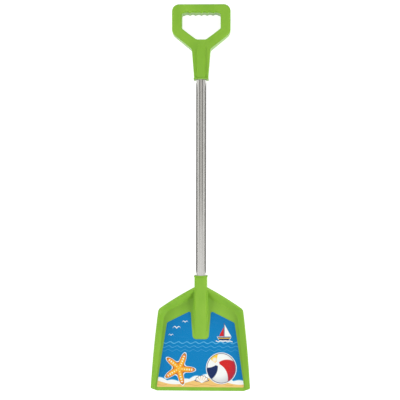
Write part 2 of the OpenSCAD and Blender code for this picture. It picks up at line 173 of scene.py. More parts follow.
def rounded_line(knots: Sequence[Point], radii: Sequence[float], steps: int,
                 closed: bool) -> list[Point]:
    """Rounds every corner of a line of knots.

    Args:
        knots: The corners, in two or three dimensions.
        radii: One radius for each corner.
        steps: Steps in each arc.
        closed: Whether the line runs back to its start.

    Returns:
        The rounded line, with steps + 1 points for each rounded corner.
    """
    count = len(knots)
    out: list[Point] = []
    for i, knot in enumerate(knots):
        if not closed and i in (0, count - 1):
            out.append(np.asarray(knot, float))
            continue
        out += arc_corner(np.asarray(knots[i - 1], float), np.asarray(knot, float),
                          np.asarray(knots[(i + 1) % count], float), radii[i], steps)
    return out


def bowed(start: Point, stop: Point, bow: float, steps: int) -> list[Point]:
    """Returns the points after start on a line to stop that bows to its right.

    Args:
        start: Where the line starts.
        stop: Where it ends.
        bow: How far its middle stands off.
        steps: Number of points.

    Returns:
        The points, the last of them at stop.
    """
    side = unit(np.array([stop[1] - start[1], start[0] - stop[0]]))
    return [start + (stop - start) * t + side * bow * 4 * t * (1 - t)
            for t in (k / steps for k in range(1, steps + 1))]


def box_outline(width: float, front: float, back: float, front_r: float, back_r: float,
                steps: int = 8) -> np.ndarray:
    """Outlines a bar with rounded corners.

    Args:
        width: Width of the bar.
        front: Y of its front face.
        back: Y of its back face.
        front_r: Radius of its front corners.
        back_r: Radius of its back corners.
        steps: Steps in each corner.

    Returns:
        The closed outline, in X and Y.
    """
    half = width / 2
    knots = [(-half, front), (half, front), (half, back), (-half, back)]
    return np.array(rounded_line([np.array(k) for k in knots],
                                 [front_r, front_r, back_r, back_r], steps, True))


# ---- Meshes ----


def make_object(name: str, points: np.ndarray, faces: Sequence[Sequence[int]]) -> bpy.types.Object:
    """Makes a mesh object at the origin from points of the upright shovel.

    Args:
        name: Name of the object.
        points: Places in millimetres, measured from the tube's axis and the front edge.
        faces: Indices of each face's points.

    Returns:
        The linked object, with its faces turned outwards.
    """
    placed = (np.asarray(points, float) @ np.array(LAID.to_3x3()).T + BASE) * MM
    mesh = bpy.data.meshes.new(name)
    mesh.from_pydata([tuple(p) for p in placed], [], [tuple(f) for f in faces])
    work = bmesh.new()
    work.from_mesh(mesh)
    bmesh.ops.remove_doubles(work, verts=work.verts, dist=MERGE_M)
    bmesh.ops.recalc_face_normals(work, faces=work.faces)
    work.to_mesh(mesh)
    work.free()
    obj = bpy.data.objects.new(name, mesh)
    bpy.context.scene.collection.objects.link(obj)
    return obj


def grid_faces(rows: int, cols: int, wrap_rows: bool = False,
               wrap_cols: bool = True) -> list[tuple[int, ...]]:
    """Returns the quads of a grid of points, rows by columns.

    Args:
        rows: Number of rows.
        cols: Number of columns.
        wrap_rows: Whether the last row joins the first.
        wrap_cols: Whether the last column joins the first.

    Returns:
        The indices of the four points of each face.
    """
    return [(i * cols + j, i * cols + (j + 1) % cols,
             (i + 1) % rows * cols + (j + 1) % cols, (i + 1) % rows * cols + j)
            for i in range(rows if wrap_rows else rows - 1)
            for j in range(cols if wrap_cols else cols - 1)]


def loft(name: str, rows: Sequence[np.ndarray]) -> bpy.types.Object:
    """Joins closed loops of equal length into a closed solid with flat ends.

    Args:
        name: Name of the object.
        rows: The loops, in order.

    Returns:
        The solid.
    """
    cols = len(rows[0])
    last = (len(rows) - 1) * cols
    ends = [tuple(range(cols - 1, -1, -1)), tuple(range(last, last + cols))]
    return make_object(name, np.vstack(rows), grid_faces(len(rows), cols) + ends)


def stacked(name: str, outlines: Sequence[np.ndarray],
            heights: Sequence[float]) -> bpy.types.Object:
    """Lofts outlines in X and Y, each at its own height."""
    return loft(name, [np.column_stack([o, np.full(len(o), z)])
                       for o, z in zip(outlines, heights)])


def turned(name: str, profile: Sequence[tuple[float, float]], base: Matrix = UPRIGHT,
           segments: int = 96) -> bpy.types.Object:
    """Turns a profile of radius and height about its axis into a closed solid.

    Args:
        name: Name of the object.
        profile: Radius and height of each step, from the lower end to the upper.
        base: Place and direction of the axis, in millimetres.
        segments: Number of faces round the axis.

    Returns:
        The solid.
    """
    angles = np.arange(segments) * 2 * math.pi / segments
    rows = []
    for radius, height in profile:
        ring = np.column_stack([radius * np.cos(angles), radius * np.sin(angles),
                                np.full(segments, height)])
        rows.append(np.array([base @ Vector(p) for p in ring]))
    return loft(name, rows)


def settle(obj: bpy.types.Object) -> bpy.types.Object:
    """Applies the modifiers of an object to its mesh.

    Args:
        obj: The object.

    Returns:
        The same object, without modifiers.
    """
    bpy.context.view_layer.update()
    done = obj.evaluated_get(bpy.context.evaluated_depsgraph_get())
    mesh = bpy.data.meshes.new_from_object(done)
    obj.modifiers.clear()
    obj.data = mesh
    return obj


def combine(obj: bpy.types.Object, others: Sequence[bpy.types.Object],
            way: Cut) -> bpy.types.Object:
    """Joins, carves or intersects a solid with others, which are then deleted.

    Args:
        obj: The solid that stays.
        others: The solids that work on it.
        way: What they do to it.

    Returns:
        The same object.
    """
    for other in others:
        step = obj.modifiers.new("combine", "BOOLEAN")
        step.solver = "MANIFOLD"
        step.operation = way.value
        step.object = other
        settle(obj)
    for other in others:
        bpy.data.objects.remove(other)
    return obj


def soften(obj: bpy.types.Object, width: float, angle: float = 38.0) -> bpy.types.Object:
    """Rounds the sharp edges of a moulding.

    Args:
        obj: The moulding.
        width: Width of the rounding, in millimetres.
        angle: Edges sharper than this are rounded, in degrees.

    Returns:
        The same object.
    """
    work = bmesh.new()
    work.from_mesh(obj.data)
    bmesh.ops.remove_doubles(work, verts=work.verts, dist=SOFTEN_MERGE_M)
    bmesh.ops.dissolve_limit(work, angle_limit=math.radians(FLAT_DEG), verts=work.verts,
                             edges=work.edges)
    work.to_mesh(obj.data)
    work.free()
    edge = obj.modifiers.new("soft edges", "BEVEL")
    edge.width = width * MM
    edge.segments = SOFTEN_STEPS
    edge.limit_method = "ANGLE"
    edge.angle_limit = math.radians(angle)
    edge.miter_outer = "MITER_ARC"
    return settle(obj)


def smooth(obj: bpy.types.Object) -> bpy.types.Object:
    """Shades an object smoothly, with its flat faces kept flat.

    Args:
        obj: The object.

    Returns:
        The same object.
    """
    obj.data.shade_smooth()
    obj.data.set_sharp_from_angle(angle=math.radians(SHARP_DEG))
    even = obj.modifiers.new("even normals", "WEIGHTED_NORMAL")
    even.keep_sharp = True
    even.weight = NORMAL_WEIGHT
    return settle(obj)


def dress(obj: bpy.types.Object, material: bpy.types.Material) -> bpy.types.Object:
    """Shades a moulding, makes its material the only one, and returns it.

    Args:
        obj: The moulding.
        material: Its material.

    Returns:
        The same object.
    """
    smooth(obj)
    obj.data.materials.clear()
    obj.data.materials.append(material)
    return obj


def hand_over(obj: bpy.types.Object, replaced: Sequence[str]) -> None:
    """Hands a finished piece to the frame.

    Args:
        obj: The piece.
        replaced: The nodes that it stands for.
    """
    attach(obj, ROOT)
    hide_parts(*replaced)
    LOG.info("%s: %d faces, stands for %s", obj.name, len(obj.data.polygons),
             ", ".join(replaced))


# ---- Shader nodes ----


@dataclass(frozen=True)
class Signal:
    """One number or vector that runs through a material, with arithmetic that adds nodes."""

    bench: "NodeBench"
    socket: bpy.types.NodeSocket

    def __add__(self, other: "Signal | float") -> "Signal":
        """Adds."""
        return self.bench.maths("ADD", self, other)

    __radd__ = __add__

    def __mul__(self, other: "Signal | float") -> "Signal":
        """Multiplies."""
        return self.bench.maths("MULTIPLY", self, other)

    __rmul__ = __mul__

    def __sub__(self, other: "Signal | float") -> "Signal":
        """Subtracts."""
        return self.bench.maths("SUBTRACT", self, other)

    def __rsub__(self, other: "Signal | float") -> "Signal":
        """Subtracts this from a number."""
        return self.bench.maths("SUBTRACT", other, self)

    def __truediv__(self, other: "Signal | float") -> "Signal":
        """Divides."""
        return self.bench.maths("DIVIDE", self, other)

    def __abs__(self) -> "Signal":
        """Takes away the sign."""
        return self.bench.maths("ABSOLUTE", self)


class NodeBench:
    """Adds nodes to one tree and links them."""

    def __init__(self, tree: bpy.types.NodeTree) -> None:
        """Starts on an empty tree."""
        self.tree = tree
        tree.nodes.clear()

    def node(self, kind: str, settings: dict[str, Any] | None = None,
             sockets: dict[int | str, Any] | None = None) -> bpy.types.Node:
        """Adds one node.

        Args:
            kind: The node's type.
            settings: Its properties.
            sockets: Values, or links from a Signal, for its inputs.

        Returns:
            The node.
        """
        made = self.tree.nodes.new(kind)
        for key, value in (settings or {}).items():
            setattr(made, key, value)
        for key, value in (sockets or {}).items():
            if isinstance(value, Signal):
                self.tree.links.new(value.socket, made.inputs[key])
            else:
                made.inputs[key].default_value = value
        return made

    def signal(self, kind: str, settings: dict[str, Any] | None = None,
               sockets: dict[int | str, Any] | None = None, out: int | str = 0) -> Signal:
        """Adds a node and returns one of its outputs."""
        return Signal(self, self.node(kind, settings, sockets).outputs[out])

    def surface(self, shader: Signal) -> None:
        """Makes a shader the surface of the material."""
        self.node("ShaderNodeOutputMaterial", {}, {"Surface": shader})

    def maths(self, operation: str, *values: "Signal | float", clamp: bool = False) -> Signal:
        """Adds a Math node."""
        return self.signal("ShaderNodeMath", {"operation": operation, "use_clamp": clamp},
                           dict(enumerate(values)))

    def high(self, first: "Signal | float", *others: "Signal | float") -> Signal:
        """Returns the highest of some numbers.

        Args:
            first: One number.
            *others: The rest of them.

        Returns:
            The highest.
        """
        for other in others:
            first = self.maths("MAXIMUM", first, other)
        return first

    def sine(self, value: Signal) -> Signal:
        """Returns the sine of a number."""
        return self.maths("SINE", value)

    def vector(self, x: "Signal | float", y: "Signal | float", z: "Signal | float") -> Signal:
        """Joins three numbers."""
        return self.signal("ShaderNodeCombineXYZ", {}, {0: x, 1: y, 2: z})

    def parts(self, vector: Signal) -> list[Signal]:
        """Returns the three numbers of a vector."""
        return [Signal(self, part)
                for part in self.node("ShaderNodeSeparateXYZ", {}, {0: vector}).outputs]

    def point_value(self, name: str) -> Signal:
        """Returns the number that each point carries under a name."""
        return self.signal("GeometryNodeInputNamedAttribute", {"data_type": "FLOAT"},
                           {"Name": name})

    def noise(self, where: Signal, scale: float, detail: float = 2.0,
              stretch: tuple[float, float, float] = (1.0, 1.0, 1.0)) -> Signal:
        """Adds noise.

        Args:
            where: Places on the object.
            scale: How fine the noise is.
            detail: How many finer layers it has.
            stretch: Below 1, the grain is drawn out along that axis.

        Returns:
            A number between 0 and 1.
        """
        grain = self.signal("ShaderNodeVectorMath", {"operation": "MULTIPLY"},
                            {0: where, 1: stretch})
        return self.signal("ShaderNodeTexNoise", {}, {"Vector": grain, "Scale": scale,
                                                      "Detail": detail, "Roughness": 0.55})

    def spread(self, value: Signal, low: float, high: float, to_low: float = 0.0,
               to_high: float = 1.0) -> Signal:
        """Maps a number smoothly from one range to another, and holds it there."""
        return self.signal("ShaderNodeMapRange", {"interpolation_type": "SMOOTHSTEP"},
                           {0: value, 1: low, 2: high, 3: to_low, 4: to_high})

    def tint(self, under: "Signal | Colour", over: "Signal | Colour",
             share: "Signal | float") -> Signal:
        """Lays one colour over another.

        Args:
            under: The colour below.
            over: The colour on top.
            share: How much of it shows, from 0 to 1.

        Returns:
            The mixed colour.
        """
        colours = [c if isinstance(c, Signal) else (*c, 1.0) for c in (under, over)]
        return self.signal("ShaderNodeMix", {"data_type": "RGBA"},
                           {0: share, 6: colours[0], 7: colours[1]}, out=2)

    def bump(self, height: Signal, strength: float, depth: float) -> Signal:
        """Returns a normal that follows a height."""
        return self.signal("ShaderNodeBump", {}, {"Strength": strength, "Distance": depth,
                                                  "Height": height})


def srgb(red: int, green: int, blue: int) -> Colour:
    """Turns a colour of 0 to 255 as seen on a screen into light values."""
    return tuple(c / 255 / 12.92 if c <= 10 else ((c / 255 + 0.055) / 1.055) ** 2.4
                 for c in (red, green, blue))


def scaled(colour: Colour, shares: Sequence[float]) -> Colour:
    """Multiplies each part of a colour by its own share."""
    return tuple(part * share for part, share in zip(colour, shares))


def new_material(name: str) -> tuple[bpy.types.Material, NodeBench]:
    """Makes an empty material and the bench for its nodes.

    Args:
        name: Name of the material.

    Returns:
        The material and its bench.
    """
    material = bpy.data.materials.new(name)
    material.use_nodes = True
    return material, NodeBench(material.node_tree)


@dataclass(frozen=True)
class Finish:
    """A finish of the shovel: a named material with a Principled shader."""

    name: str

    def build(self) -> bpy.types.Material:
        """Makes the material.

        Returns:
            The material.
        """
        material, bench = new_material(self.name)
        where = bench.signal("ShaderNodeTexCoord", out="Object")
        bench.surface(bench.signal("ShaderNodeBsdfPrincipled", {}, self.sockets(bench, where)))
        return material

    def sockets(self, bench: NodeBench, where: Signal) -> dict[int | str, Any]:
        """Adds the nodes of this finish.

        Args:
            bench: The material's bench.
            where: Places on the object.

        Returns:
            What the sockets of the shader get.
        """
        raise NotImplementedError


@dataclass(frozen=True)
class MouldedPlastic(Finish):
    """Semi-gloss polypropylene with flow marks, a fine mould grain and light scuffs."""

    colour: Colour = (0.235, 0.475, 0.034)
    deep_shares: Colour = (0.9, 0.94, 0.9)
    light_shares: Colour = (1.1, 1.05, 1.25)
    roughness: float = 0.29
    ior: float = 1.49
    specular: float = 0.35
    flow_scale: float = 26.0
    scuff_scale: float = 420.0
    patch_scale: float = 34.0
    grain_scale: float = 2600.0
    flow_stretch: Stretch = (1.0, 0.45, 1.0)
    scuff_stretch: Stretch = (1.0, 0.06, 1.0)
    flow_range: Range = (0.3, 0.7)
    scuff_range: Range = (0.6, 0.74)
    patch_range: Range = (0.42, 0.68)
    flow_rough: float = 0.05
    scuff_rough: float = 0.12
    grain_height: float = 0.55
    scuff_height: float = 0.25
    flow_height: float = 0.2
    bump_strength: float = 0.05
    bump_depth: float = 0.0004

    def sockets(self, bench: NodeBench, where: Signal) -> dict[int | str, Any]:
        """Adds flow marks to the colour, and grain and scuffs to the surface.

        Args:
            bench: The material's bench.
            where: Places on the object.

        Returns:
            What the sockets of the shader get.
        """
        flow = bench.noise(where, self.flow_scale, 3.0, self.flow_stretch)
        base = bench.tint(scaled(self.colour, self.deep_shares),
                          scaled(self.colour, self.light_shares),
                          bench.spread(flow, *self.flow_range))
        scratches = bench.noise(where, self.scuff_scale, 4.0, self.scuff_stretch)
        patches = bench.noise(where, self.patch_scale)
        scuff = bench.spread(scratches, *self.scuff_range) * bench.spread(
            patches, *self.patch_range)
        height = (self.grain_height * bench.noise(where, self.grain_scale, 1.0)
                  + self.scuff_height * scuff + self.flow_height * flow)
        return {"Base Color": base,
                "Roughness": self.roughness + self.flow_rough * flow + self.scuff_rough * scuff,
                "Normal": bench.bump(height, self.bump_strength, self.bump_depth),
                "IOR": self.ior, "Specular IOR Level": self.specular}


@dataclass(frozen=True)
class PolishedSteel(Finish):
    """Polished steel tube with faint drawing marks along it and a closed seam at the back."""

    colour: Colour = (0.66, 0.65, 0.62)
    mark_share: float = 0.93
    roughness: float = 0.13
    mark_scale: float = 700.0
    haze_scale: float = 42.0
    mark_stretch: Stretch = (1.0, 0.006, 1.0)
    haze_stretch: Stretch = (1.0, 0.3, 1.0)
    mark_range: Range = (0.3, 0.65)
    haze_range: Range = (0.4, 0.75)
    haze_rough: float = 0.06
    mark_rough: float = 0.03
    seam_rough: float = 0.15
    mark_height: float = 0.4
    seam_height: float = 0.6
    seam_half_w: float = 0.0006
    seam_fade: float = 0.004
    bump_strength: float = 0.012
    bump_depth: float = 0.0003

    def sockets(self, bench: NodeBench, where: Signal) -> dict[int | str, Any]:
        """Adds long drawing marks, dulled patches and the seam.

        Args:
            bench: The material's bench.
            where: Places on the object.

        Returns:
            What the sockets of the shader get.
        """
        marks = bench.noise(where, self.mark_scale, 2.0, self.mark_stretch)
        haze = bench.noise(where, self.haze_scale, 3.0, self.haze_stretch)
        base = bench.tint(scaled(self.colour, [self.mark_share] * 3), self.colour,
                          bench.spread(marks, *self.mark_range))
        side, _, height = bench.parts(where)
        axis = BASE[2] * MM
        seam = bench.spread(abs(side), 0.0, self.seam_half_w, 1.0, 0.0) * bench.spread(
            height, axis - self.seam_fade, axis, 1.0, 0.0)
        dulled = (self.haze_rough * bench.spread(haze, *self.haze_range)
                  + self.mark_rough * marks + self.seam_rough * seam)
        return {"Base Color": base, "Metallic": 1.0, "Roughness": self.roughness + dulled,
                "Normal": bench.bump(self.mark_height * marks - self.seam_height * seam,
                                     self.bump_strength, self.bump_depth)}


@dataclass(frozen=True)
class ZincScrew(Finish):
    """Zinc-plated steel with a mottled passivated surface."""

    colour: Colour = (0.56, 0.56, 0.55)
    tarnish: Colour = (0.62, 0.58, 0.47)
    roughness: float = 0.28
    mottle_scale: float = 1400.0
    mottle_range: Range = (0.4, 0.8)
    mottle_rough: float = 0.14
    tarnish_share: float = 0.6
    bump_strength: float = 0.15
    bump_depth: float = 0.0001

    def sockets(self, bench: NodeBench, where: Signal) -> dict[int | str, Any]:
        """Adds mottling to the plating.

        Args:
            bench: The material's bench.
            where: Places on the object.

        Returns:
            What the sockets of the shader get.
        """
        mottle = bench.noise(where, self.mottle_scale, 3.0)
        base = bench.tint(self.colour, self.tarnish,
                          bench.spread(mottle, *self.mottle_range, 0.0, self.tarnish_share))
        return {"Base Color": base, "Metallic": 1.0,
                "Roughness": self.roughness + self.mottle_rough * mottle,
                "Normal": bench.bump(mottle, self.bump_strength, self.bump_depth)}


class Ink:
    """Printing inks of the film."""

    SEA = srgb(0, 126, 188)
    SEA_DEEP = srgb(0, 112, 176)
    SEA_LIGHT = srgb(92, 182, 224)
    WHITE = srgb(240, 243, 240)
    RED = srgb(206, 38, 38)
    NAVY = srgb(26, 44, 92)
    BROWN = srgb(112, 66, 36)
    ORANGE = srgb(232, 138, 42)
    PEACH = srgb(244, 190, 112)
    YELLOW = srgb(248, 204, 58)
    SAND = srgb(236, 194, 118)
    SAND_DEEP = srgb(204, 152, 78)


@dataclass
class Sheet:
    """The film as it is printed: places in millimetres, and the inks laid so far."""

    bench: NodeBench
    x: Signal
    z: Signal
    ink: "Signal | Colour" = Ink.SEA
    edge: float = 0.3

    def inside(self, distance: Signal) -> Signal:
        """Returns 1 where a distance is below zero and 0 elsewhere, with a fine soft edge."""
        return self.bench.maths("MULTIPLY_ADD", distance, -1 / self.edge, 0.5, clamp=True)

    def polar(self, cx: float, cz: float) -> tuple[Signal, Signal]:
        """Returns the distance from a centre and the angle about it, in radians.

        Args:
            cx: X of the centre.
            cz: Z of the centre.

        Returns:
            The distance and the angle.
        """
        dx, dz = self.x - cx, self.z - cz
        return (self.bench.maths("SQRT", dx * dx + dz * dz),
                self.bench.maths("ARCTAN2", dz, dx))

    def wash(self, colour: Colour, share: Signal) -> None:
        """Prints a colour at a share of its full strength."""
        self.ink = self.bench.tint(self.ink, colour, share)

    def lay(self, colour: Colour, distance: Signal,
            share: "Signal | float | None" = None) -> None:
        """Prints a colour where a distance is below zero.

        Args:
            colour: The ink.
            distance: Distance from the edge of its area, below zero inside.
            share: Strength of the ink there; in full if it isn't given.
        """
        area = self.inside(distance)
        self.wash(colour, area if share is None else area * share)

    def rimmed(self, distance: Signal, *layers: tuple[float, Colour]) -> None:
        """Prints one shape in several inks, each grown by its own length, the widest first."""
        for grow, colour in layers:
            self.lay(colour, distance - grow if grow else distance)


@dataclass(frozen=True)
class PrintedFilm(Finish):
    """Gloss film printed with a beach: dune, waves, starfish, ball, shell, boat and gulls.

    Places on the print are in millimetres: X across the blade, Z up from its front edge.
    """

    roughness: float = 0.24
    ior: float = 1.5
    specular: float = 0.12
    dot_scale: float = 5200.0
    dot_range: Range = (0.6, 0.8)
    dot_share: float = 0.05
    scuff_scale: float = 300.0
    scuff_stretch: Stretch = (0.08, 1.0, 1.0)
    scuff_range: Range = (0.6, 0.75)
    scuff_rough: float = 0.14
    scuff_height: float = 0.15
    waviness_scale: float = 60.0
    waviness_rough: float = 0.05
    glow_at: tuple[float, float] = (0.0, 58.0)
    # Height, half width and strength of each swell.
    swells: tuple[tuple[float, float, float], ...] = (
        (83.0, 0.8, 0.8), (76.0, 0.55, 0.6), (69.5, 0.4, 0.45))
    # Place and half span of each gull.
    gulls_at: tuple[tuple[float, float, float], ...] = (
        (-43.0, 108.0, 7.5), (-28.0, 118.5, 5.5), (-53.0, 95.5, 5.0))
    boat_at: tuple[float, float] = (42.0, 93.0)
    shell_at: tuple[float, float] = (2.5, 13.5)
    shell_r: float = 12.2
    shell_ribs: float = 15.0
    star_at: tuple[float, float] = (-38.0, 38.0)
    star_r: float = 27.0
    star_arms: float = 5.0
    ball_at: tuple[float, float] = (37.0, 39.0)
    ball_r: float = 25.0
    ball_pole: tuple[float, float] = (-7.0, 8.0)
    ball_panels: float = 6.0
    bump_strength: float = 0.06
    bump_depth: float = 0.0004

    def sockets(self, bench: NodeBench, where: Signal) -> dict[int | str, Any]:
        """Prints the layers from the sea up to the ball, then adds dots, scuffs and waviness.

        Args:
            bench: The material's bench.
            where: Places on the object.

        Returns:
            What the sockets of the shader get.
        """
        x, z = (part / MM - start for part, start in zip(bench.parts(where), BASE[:2]))
        sheet = Sheet(bench, x, z)
        for motif in (self.sea, self.gulls, self.boat, self.dune, self.shell, self.starfish,
                      self.ball):
            motif(sheet)
        dots = bench.noise(where, self.dot_scale, 0.0)
        sheet.wash(Ink.WHITE, bench.spread(dots, *self.dot_range, 0.0, self.dot_share))
        scratches = bench.noise(where, self.scuff_scale, 4.0, self.scuff_stretch)
        scuff = bench.spread(scratches, *self.scuff_range)
        waviness = bench.noise(where, self.waviness_scale)
        return {"Base Color": sheet.ink,
                "Roughness": (self.roughness + self.scuff_rough * scuff
                              + self.waviness_rough * waviness),
                "Normal": bench.bump(waviness + self.scuff_height * scuff, self.bump_strength,
                                     self.bump_depth),
                "IOR": self.ior, "Specular IOR Level": self.specular}

    def sea(self, sheet: Sheet) -> None:
        """Deepens the blue away from the middle and adds long light swells.

        Args:
            sheet: The film, which takes the inks.
        """
        glow, _ = sheet.polar(*self.glow_at)
        sheet.wash(Ink.SEA_DEEP, sheet.bench.spread(glow, 40.0, 100.0, 0.0, 0.8))
        sine = sheet.bench.sine
        wave = sine(sheet.x * 0.42 + sine(sheet.z * 0.2) * 0.8)
        for height, width, share in self.swells:
            sheet.lay(Ink.SEA_LIGHT, abs(sheet.z - height - wave * 1.5) - width, share)

    def gulls(self, sheet: Sheet) -> None:
        """Prints three small white gulls over the left half.

        Args:
            sheet: The film, which takes the inks.
        """
        bench = sheet.bench
        for cx, cz, span in self.gulls_at:
            out = abs(sheet.x - cx) / span
            wing = cz + bench.sine(out * math.pi) * (0.42 * span)
            thick = bench.maths("SUBTRACT", 1.15, out, clamp=True) * (0.13 * span)
            sheet.lay(Ink.WHITE, bench.high(abs(sheet.z - wing) - thick, (out - 1.0) * span))

    def boat(self, sheet: Sheet) -> None:
        """Prints a small boat with a white and a red sail on the right half.

        Args:
            sheet: The film, which takes the inks.
        """
        high = sheet.bench.high
        dx, dz = sheet.x - self.boat_at[0], sheet.z - self.boat_at[1]
        hull = high(abs(dx) - 12.0 - dz * 0.62, dz, dz * -1.0 - 5.6)
        main = high(dz - 23.0 + dx * 1.75, 0.9 - dx, 1.6 - dz) * 0.6
        jib = high(dz - 19.0 - dx * 1.9, dx + 0.9, 1.6 - dz) * 0.6
        mast = high(abs(dx) - 0.45, dz - 24.5, dz * -1.0)
        foam = high(abs(dz + 7.4 - sheet.bench.sine(dx * 0.75) * 0.7) - 0.7, abs(dx) - 15.0)
        stripe = high(hull, abs(dz + 1.9) - 0.6)
        sheet.rimmed(hull, (0.7, Ink.WHITE), (0.0, Ink.NAVY))
        for shape, colour in ((main - 0.1, Ink.WHITE), (jib, Ink.RED), (mast, Ink.BROWN),
                              (foam, Ink.WHITE), (stripe, Ink.YELLOW)):
            sheet.lay(colour, shape)

    def dune(self, sheet: Sheet) -> None:
        """Prints foam and sand along the front edge.

        Args:
            sheet: The film, which takes the inks.
        """
        x, z, sine = sheet.x, sheet.z, sheet.bench.sine
        swell = sine(x * 0.055 + 0.9)
        foam = z - 21.0 - swell * 5.0 - abs(sine(x * 0.16)) * 2.6
        sand = z - 16.5 - swell * 5.5
        sheet.lay(Ink.SEA_LIGHT, foam - 1.3, 0.8)
        sheet.lay(Ink.WHITE, foam)
        sheet.lay(Ink.SAND, sand)
        ripple = abs(z - 10.5 - sine(x * 0.21) * 1.1) - 0.5
        sheet.lay(Ink.SAND_DEEP, sheet.bench.high(ripple, sand + 2.0), 0.7)

    def shell(self, sheet: Sheet) -> None:
        """Prints a ribbed white shell between the starfish and the ball.

        Args:
            sheet: The film, which takes the inks.
        """
        bench = sheet.bench
        reach, angle = sheet.polar(*self.shell_at)
        lean = angle - math.pi / 2
        scallop = bench.maths("COSINE", lean * self.shell_ribs)
        fan = bench.high(reach - self.shell_r - scallop * 0.6, abs(lean) * 8.0 - 9.4)
        rib = bench.spread(scallop, -1.0, -0.3, 1.0, 0.0) * bench.spread(reach, 3.0, 6.0)
        sheet.rimmed(fan, (0.9, Ink.NAVY), (0.0, Ink.WHITE))
        sheet.lay(Ink.PEACH, fan, rib)

    def starfish(self, sheet: Sheet) -> None:
        """Prints a starfish at the left, with pale dots along its arms.

        Args:
            sheet: The film, which takes the inks.
        """
        bench = sheet.bench
        reach, angle = sheet.polar(*self.star_at)
        bend = angle * self.star_arms - reach * 0.012 + 0.65
        lobe = bench.maths("MULTIPLY_ADD", bench.maths("COSINE", bend), 0.5, 0.5)
        arm = (reach - self.star_r * (0.36 + 0.64 * bench.maths("POWER", lobe, 1.9))) * 0.62
        sheet.rimmed(arm, (2.0, Ink.WHITE), (0.9, Ink.BROWN), (0.0, Ink.ORANGE))
        sheet.lay(Ink.YELLOW, arm + 3.2, 0.65)
        beads = bench.sine(reach * 1.45) * bench.spread(lobe, 0.93, 0.99)
        sheet.lay(Ink.WHITE, 0.42 - beads, sheet.inside(arm + 1.6))

    def ball(self, sheet: Sheet) -> None:
        """Prints a beach ball at the right, with coloured panels that meet at its pole.

        Args:
            sheet: The film, which takes the inks.
        """
        bench = sheet.bench
        cx, cz = self.ball_at
        reach, _ = sheet.polar(cx, cz)
        pole, turn = sheet.polar(cx + self.ball_pole[0], cz + self.ball_pole[1])
        shade, _ = sheet.polar(cx - 5.0, cz + 5.5)
        shine, _ = sheet.polar(cx - 12.0, cz + 14.5)
        swirl = bench.maths("FRACT", turn / math.tau + pole * 0.0035 + 1.04) * self.ball_panels
        edge = reach - self.ball_r
        ball = sheet.inside(edge)
        sheet.rimmed(edge, (2.2, Ink.WHITE), (1.0, Ink.NAVY), (0.0, Ink.WHITE))
        for start, colour in ((0.0, Ink.RED), (2.0, Ink.YELLOW), (4.0, Ink.NAVY)):
            sheet.lay(colour, (abs(swirl - (start + 0.5)) - 0.5) * 4.0, ball)
        sheet.lay(Ink.WHITE, pole - 3.6, ball)
        sheet.wash(Ink.NAVY, bench.spread(shade, 17.0, 32.0, 0.0, 0.3) * ball)
        sheet.wash(Ink.WHITE, bench.spread(shine, 2.0, 5.5, 0.75, 0.0) * ball)


# ---- Pieces ----


